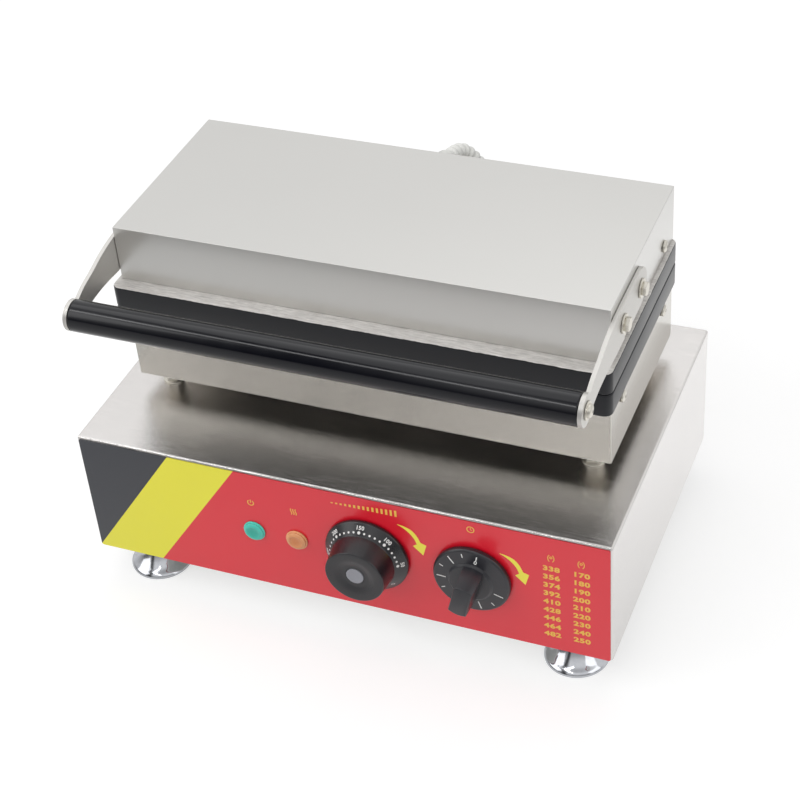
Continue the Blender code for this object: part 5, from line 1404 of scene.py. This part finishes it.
def pocket_profile():
    """The cutter for one pocket, down from the bed: a round bowl whose rim is eased."""
    radius = (POCKET_RADIUS ** 2 + POCKET_DEPTH ** 2) / (2 * POCKET_DEPTH)
    centre = radius - POCKET_DEPTH
    rim = math.asin((centre + POCKET_RIM) / radius)
    bowl = [(0.0, -POCKET_DEPTH)]
    for k in range(1, POCKET_STEPS + 1):
        a = -math.pi / 2 + (math.pi / 2 - rim) * k / POCKET_STEPS
        bowl.append((radius * math.cos(a), centre + radius * math.sin(a)))
    edge = bowl[-1][0]
    lip = [(edge + POCKET_EASE * share, z) for share, z in POCKET_LIP]
    return [*bowl, *lip, (0.0, BED_DEPTH / 2)]


def coated_cast(name, bare_level=None):
    """Dark non-stick coat with a fine orange peel; above a level the casting is bare and rough."""
    finish = Finish(name, Specular_IOR_Level=0.42, Sheen_Weight=0.7, Sheen_Roughness=0.3)
    peel = finish.noise(1100.0, detail=2.0)
    clouds = finish.noise(26.0)
    coat = finish.mix((peel * 0.35 + clouds * 0.65).clamped(), tint(13, 14, 19), tint(24, 26, 32))
    rough = peel.swing(0.16) + clouds.swing(0.1) + 0.42
    if bare_level is None:
        return finish.coat(coat, rough, peel, 0.25, 0.1)
    ragged = finish.noise(190.0, (1.0, 1.0, 0.3), 4.0)
    height = finish.axes()[2] + ragged.swing(BARE_RAGGED)
    bare = ((height - bare_level) * BARE_EDGE).clamped()
    sand = finish.noise(1500.0, (0.06, 1.0, 1.0), 4.0, 0.65)
    pits = finish.noise(300.0, (0.5, 1.0, 1.0))
    speckle = sand.swing(1.3) + pits.swing(0.5) + 0.5
    casting = finish.mix(speckle.clamped(), tint(170, 166, 162), tint(255, 252, 248))
    finish.paint(Metallic=bare * 0.2)
    level = bare * (sand * 0.6) + peel * (1.0 - bare)
    return finish.coat(finish.mix(bare, coat, casting), rough + bare * 0.16, level, 0.25, 0.08)


def add_lugs(lugs, holes, side, screws, low, high, plate_low, plate_high, face):
    """One side's lugs on a plate's back, with the holes for its screws and the arm's bolts."""
    inner = corners("lower_housing")[1].x - HOUSING_SHEET - GAP
    x_low, x_high = sorted((side * inner, side * (inner - LUG_THICKNESS)))
    screw_ys, bolt_ys = (
        sorted(place.y for place in map(middle, nodes) if place.x * side > 0)
        for nodes in (screws, ARM_BOLTS)
    )
    z = middle(screws[0]).z
    overlap = (plate_high - plate_low) / 4
    through = [(y, z, SIDE_SCREW_HOLE) for y in screw_ys]
    if face > 0:
        boxes = [(y - LUG_HALF, y + LUG_HALF, low.z, plate_low + overlap) for y in screw_ys]
    else:
        start = min(bolt_ys[0], screw_ys[0]) - LUG_HALF
        end = max(bolt_ys[1], screw_ys[0]) + LUG_HALF
        root = plate_high - overlap
        boxes = [
            (screw_ys[1] - LUG_HALF, screw_ys[1] + LUG_HALF, root, z + LUG_DROP),
            (start, end, root, high.z),
        ]
        bolt_z = middle(ARM_BOLTS[0]).z
        through = [(y, bolt_z, ARM_BOLT_HOLE) for y in bolt_ys] + through
    for y_low, y_high, z_low, z_high in boxes:
        add_box(lugs, (x_low, y_low, z_low), (x_high, y_high, z_high))
    for y, height, radius in through:
        add_bore(holes, radius, (0.0, y, height), "x", x_low - MM, x_high + MM, HOLE_SIDES)


def make_plate(node, name, body, face, thick, screws, finish):
    """One plate; face is 1 where its bed looks up, or -1 where it looks down."""
    low, high = corners(node)
    plate_low, plate_high = (high.z - thick, high.z) if face > 0 else (low.z, low.z + thick)
    bm, bed, lugs, holes, pockets = (bmesh.new() for _ in range(5))
    block_low, block_high = Vector((*low.xy, plate_low)), Vector((*high.xy, plate_high))
    rounded_block(bm, block_low, block_high, PLATE_CORNER, PLATE_EASE, PLATE_EASE)
    obj = new_object(name, mesh_of(bm, name))
    floor = plate_high - BED_DEPTH if face > 0 else plate_low + BED_DEPTH
    bed_low, bed_high = sorted((floor, floor + face * (BED_DEPTH + OVERRUN)))
    bed_low = Vector((low.x + BED_RIM, low.y + BED_RIM, bed_low))
    bed_high = Vector((high.x - BED_RIM, high.y - BED_RIM, bed_high))
    rounded_block(bed, bed_low, bed_high, BED_CORNER, BED_EASE * (face > 0), BED_EASE * (face < 0))
    pocket = finished(spun(pocket_profile(), POCKET_SIDES), "pocket_form")
    turn = UPRIGHT if face > 0 else (math.pi, 0.0, 0.0)
    places = [((x, y, floor), turn) for x, y in pocket_places(low, high)]
    pockets.from_mesh(set_on_places(name + "_pockets", pocket, places, finish))
    for side in (-1, 1):
        add_lugs(lugs, holes, side, screws, low, high, plate_low, plate_high, face)
    mesh = machined(obj, name, PLATE_SHARP, [holes, bed, pockets], lugs)
    piece(name, mesh, body, finish, [node])


bare_from = corners("upper_plate")[0].z + UPPER_THICK - BARE_INSET
lower_coat, upper_coat = coated_cast("lower_coat"), coated_cast("upper_coat", bare_from)
make_plate("lower_plate", "lower_mould", "base", 1, LOWER_THICK, LOWER_SCREWS, lower_coat)
make_plate("upper_plate", "upper_mould", "lid", -1, UPPER_THICK, UPPER_SCREWS, upper_coat)


# The hinge: two fixed brackets on the tray's back, two leaves on the lid's back and one long rod.
# All are bent or cut from steel sheet; the leaves' heels stop the lid when it stands open.
HINGE_EASE = 0.3 * MM
ROD_SIDES = 40
ROD_HEAD = (6.5 * MM, 3.0 * MM)
ROD_RADIUS = 4.0 * MM
ROD_EASES = (0.9 * MM, 0.4 * MM)

hinge_steel = brushed_steel("hinge_steel", tint(198, 197, 192), 0.34, 0.05)
for kind, body in (("bracket", "base"), ("leaf", "lid")):
    for side in ("left", "right"):
        name = "%s_%s" % (kind, side)
        mesh = eased_copy("hinge_" + name, name, HINGE_EASE)
        piece(name, mesh, body, hinge_steel, ["hinge_" + name])


def lying(centre):
    """A place whose Z runs to the right, for what is turned about a level axis."""
    return Matrix.Translation(centre) @ Matrix.Rotation(math.pi / 2, 4, "Y")


def make_hinge_rod():
    low, high = corners("hinge_rod")
    half = (high.x - low.x) / 2
    head, thick = ROD_HEAD
    outer, inner = ROD_EASES
    right = [
        (0, half), (head, half, outer), (head, half - thick, inner), (ROD_RADIUS, half - thick),
    ]
    left = [(radius, -along, *ease) for radius, along, *ease in right[::-1]]
    mesh = finished(spun(eased(right + left), ROD_SIDES, lying((low + high) / 2)), "rod")
    piece("rod", mesh, "base", zinc, ["hinge_rod"])


make_hinge_rod()


# The lid: the upper housing, folded of the same brushed steel as the tray and open below.
# Its sides take the arms' bolts and the plate's screws; a conduit enters through its back.
LID_FOLD = 0.35 * MM


def make_lid():
    low, high = corners("upper_housing")
    obj = folded_shell(low, high, -1, HOUSING_SHEET, LID_FOLD)
    holes = bmesh.new()
    side_holes(holes, UPPER_SCREWS, SIDE_SCREW_HOLE, high.x)
    side_holes(holes, ARM_BOLTS, ARM_BOLT_HOLE, high.x)
    gland, back = middle("conduit_gland_lid"), high.y
    add_bore(holes, CONDUIT_HOLE, gland, "y", back - 2 * OVERRUN, back + OVERRUN)
    mesh = weighted(machined(obj, "lid_cover", SHEET_SHARP, [holes]), "lid_cover")
    steel = brushed_steel("lid_steel", tint(218, 217, 214), 0.3, 0.008, 0.0)
    piece("lid_cover", mesh, "lid", steel, ["upper_housing"])


make_lid()


# The arms: two flat steel arms, cut to shape, bolted to the lid's sides and round at their front
# ends, where they hold the handle.
ARM_EASE = 0.45 * MM
ARM_EASE_STEPS = 3

arm_steel = brushed_steel("arm_steel", tint(217, 215, 211), 0.5, 0.03, 0.2)
for node in ("arm_left", "arm_right"):
    mesh = eased_copy(node, node, ARM_EASE, ARM_EASE_STEPS)
    piece("lift_" + node, mesh, "lid", arm_steel, [node])


# Side fasteners: pan head screws for the plates, and for the arms bolts with hexagonal heads on
# round washers; both are plated. The handle's screws are of the same kind as the plates'.
SCREW_SIDES = 32
SCREW_TIP = 0.6 * MM
SCREW_EASE_STEPS = 3
CROWN_STEPS = 6
CROWN_RIM = 0.45  # the share of a pan head's height that its rim has
CROSS = (2.6 * MM, 0.8 * MM, 1.3 * MM)  # length, width and depth of the recess
BOLT_EASE = 0.5 * MM
FASTENER_TURNS = (0.4, 0.9)  # the first one's turn, and each next one's gain
# The head's radius and height, the shank's radius and length, the washer's radius and height.
PLATE_SCREW = (4.5 * MM, 2.4 * MM, 2.5 * MM, 6.5 * MM)
ARM_BOLT = (5.4 * MM, 3.2 * MM, 3.0 * MM, 10.1 * MM, 7.0 * MM, 1.2 * MM)
HANDLE_SCREW = (4.8 * MM, 2.8 * MM, 3.0 * MM, 17.3 * MM, 6.6 * MM, 1.0 * MM)
HANDLE_SCREWS = ("handle_screw_left", "handle_screw_right")
ARM_THICKNESS = 3.0 * MM


def shank(radius, length, washer_radius, washer):
    """Points down from under a head: its washer, if it has one, and its shank."""
    edge = [(washer_radius, washer, 0.2 * MM), (washer_radius, 0, 0.2 * MM)] if washer else []
    tip = SCREW_TIP - length
    return [*edge, (radius, 0), (radius, tip), (radius - SCREW_TIP, -length), (0, -length)]


def cross_headed(head_radius, head, radius, length, washer_radius=0.0, washer=0.0):
    """A pan head screw about Z with a cross recess; its head starts at 0 or on a washer."""
    top = washer + head
    crown = []
    for k in range(CROWN_STEPS + 1):
        a = math.pi / 2 * k / CROWN_STEPS
        rise = head * (CROWN_RIM + (1 - CROWN_RIM) * math.cos(a))
        crown.append((head_radius * math.sin(a), washer + rise))
    below = shank(radius, length, washer_radius, washer)
    profile = [*crown, (head_radius, washer, 0.15 * MM), *below]
    turned = spun(eased(profile, SCREW_EASE_STEPS), SCREW_SIDES)
    obj = new_object("screw_form", finished(turned, "screw_form"))
    cross_length, cross_width, cross_depth = CROSS
    slots = []
    for x, y in ((cross_length / 2, cross_width / 2), (cross_width / 2, cross_length / 2)):
        slots.append(bmesh.new())
        add_box(slots[-1], (-x, -y, top - cross_depth), (x, y, top + MM))
    return machined(obj, "screw_form", KNOB_SHARP, slots)


def hex_headed(head_radius, head, radius, length, washer_radius, washer):
    """A bolt about Z whose hexagonal head stands on a washer."""
    profile = [(0, washer + HEX_SEAT), (washer_radius, washer, 0.25 * MM)]
    profile += shank(radius, length, washer_radius, washer)[1:]
    bm = spun(eased(profile, SCREW_EASE_STEPS), SCREW_SIDES)
    add_hexagon(bm, head_radius, washer, washer + head, BOLT_EASE)
    return finished(bm, "bolt_form", BOLT_SHARP)


def make_fasteners():
    half = corners("upper_housing")[1].x
    wall, arm = half + GAP, half + 2 * GAP + ARM_THICKNESS
    screw, handle_screw = cross_headed(*PLATE_SCREW), cross_headed(*HANDLE_SCREW)
    bolt = hex_headed(*ARM_BOLT)
    first, gain = FASTENER_TURNS
    for name, form, nodes, x, body, sharp in (
        ("tray_screws", screw, LOWER_SCREWS, wall, "base", KNOB_SHARP),
        ("lid_screws", screw, UPPER_SCREWS, wall, "lid", KNOB_SHARP),
        ("arm_bolts", bolt, ARM_BOLTS, arm, "lid", BOLT_SHARP),
        ("handle_screws", handle_screw, HANDLE_SCREWS, arm, "lid", KNOB_SHARP),
    ):
        places = []
        for i, place in enumerate(map(middle, nodes)):
            side = math.copysign(1, place.x)
            outwards = Matrix.Rotation(side * math.pi / 2, 3, "Y")
            turn = outwards @ Matrix.Rotation(first + gain * i, 3, "Z")
            places.append(((side * x, place.y, place.z), turn.to_euler()))
        piece(name, set_on_places(name, form, places, zinc, sharp), body, zinc, nodes)


make_fasteners()


# The handle: a black moulded tube over a steel core, between the front ends of both arms.
# A screw through each arm's end into the core holds it.
HANDLE_SIDES = 96
HANDLE_EASE = 1.4 * MM


def make_handle():
    low, high = corners("handle_grip")
    half, radius = (high.x - low.x) / 2, (high.z - low.z) / 2
    core_low, core_high = corners("handle_core")
    core = (core_high.z - core_low.z) / 2 + GAP
    profile = eased([
        (core, half), (radius, half, HANDLE_EASE), (radius, -half, HANDLE_EASE), (core, -half),
    ])
    turned = spun(profile, HANDLE_SIDES, lying((low + high) / 2), closed=True)
    grip = moulded("handle_plastic", tint(11, 12, 19), 0.15, 2400.0, 0.03, 0.5)
    piece("handle_bar", finished(turned, "handle_bar"), "lid", grip, ["handle_grip"])
    dress(plain_steel, "handle_core")


make_handle()


# The conduit: a pale ribbed conduit for the lid's wires, clamped in a pale gland on the lid's back
# and in another on the deck.
CONDUIT_RADIUS = 6.0 * MM
CONDUIT_GROOVE = 0.8
CONDUIT_PITCH = 5.5 * MM
CONDUIT_STEPS = 10
CONDUIT_SIDES = 32
CONDUIT_SHARP = 60.0
CONDUIT_STRAIGHT = 14.0 * MM
CONDUIT_SOCKET = 4.6 * MM
CONDUIT_REACH = 42.4 * MM
CONDUIT_CURVE_STEPS = 12
CONDUIT_ROUTE = (
    (0.08, 0.8, 0.97), (0.26, 0.96, 0.9), (0.53, 1.0, 0.78), (0.79, 0.92, 0.64), (0.95, 0.73, 0.46),
    (1.0, 0.55, 0.3),
)
RIB_ROUNDNESS = 0.6


def make_ribber():
    """A node tree that makes a ribbed tube along a line."""
    graph, (line, radius, groove, pitch, steps, sides, coat) = open_tree("ribbed_tube", (
        ("Line", "Geometry", None), ("Radius", "Float", CONDUIT_RADIUS),
        ("Groove", "Float", CONDUIT_GROOVE), ("Pitch", "Float", CONDUIT_PITCH),
        ("Steps", "Int", CONDUIT_STEPS), ("Sides", "Int", CONDUIT_SIDES),
        ("Finish", "Material", None),
    ))
    curve = graph.add("GeometryNodeMeshToCurve", None, {"Mesh": line})
    values = {"Curve": curve, "Length": pitch / steps}
    even = graph.add("GeometryNodeResampleCurve", {"mode": "LENGTH"}, values)
    along = graph.add("GeometryNodeSplineParameter", output="Length")
    wave = ((along / pitch * (2 * math.pi)).cosine() * 0.5 + 0.5) ** RIB_ROUNDNESS
    values = {"Resolution": sides, "Radius": 1.0}
    circle = graph.add("GeometryNodeCurvePrimitiveCircle", None, values)
    share = groove + wave * (1.0 - groove)
    values = {"Curve": even, "Profile Curve": circle, "Scale": radius * share, "Fill Caps": True}
    return close_tree(graph, graph.add("GeometryNodeCurveToMesh", None, values), coat)


def ribbed_grey():
    finish = Finish("ribbed_grey", Specular_IOR_Level=0.5)
    grime = finish.noise(120.0, detail=4.0)
    fine = finish.noise(1500.0, detail=2.0)
    level = grime * 0.7 + fine * 0.3
    shade = finish.mix(level.clamped(), tint(222, 222, 218), tint(244, 244, 240))
    return finish.coat(shade, fine * 0.16 + 0.34, fine, 0.1, 0.03)


def make_conduit():
    lid_gland, deck_gland = middle("conduit_gland_lid"), middle("conduit_gland_base")
    back = corners("upper_housing")[1].y
    start = Vector((lid_gland.x, back + CONDUIT_SOCKET, lid_gland.z))
    end = Vector((deck_gland.x, deck_gland.y, deck_z + CONDUIT_SOCKET))
    rise = lid_gland.z - deck_z
    route = [
        Vector((between(x, start.x, end.x), back + y * CONDUIT_REACH, deck_z + z * rise))
        for x, y, z in CONDUIT_ROUTE
    ]
    behind = start + Vector((0, CONDUIT_STRAIGHT, 0))
    above = end + Vector((0, 0, CONDUIT_STRAIGHT))
    points = [tuple(start), *smooth_line([behind, *route, above], CONDUIT_CURVE_STEPS), tuple(end)]
    line = bpy.data.meshes.new("conduit_line")
    line.from_pydata(points, [(i, i + 1) for i in range(len(points) - 1)], [])
    grey = ribbed_grey()
    bm = bmesh.new()
    bm.from_mesh(run_tree(make_ribber(), new_object("line", line), "tube", Finish=grey.material))
    mesh = finished(bm, "conduit_hose", CONDUIT_SHARP)
    obj = piece("conduit_hose", mesh, None, grey, ["conduit"])
    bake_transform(obj)


make_conduit()
pale_nylon = moulded("pale_nylon", tint(222, 222, 218), 0.4)
for node, name, body in (
    ("conduit_gland_lid", "hose_gland_lid", "lid"),
    ("conduit_gland_base", "hose_gland_deck", "base"),
):
    piece(name, eased_copy(node, name, GLAND_EASE), body, pale_nylon, [node])
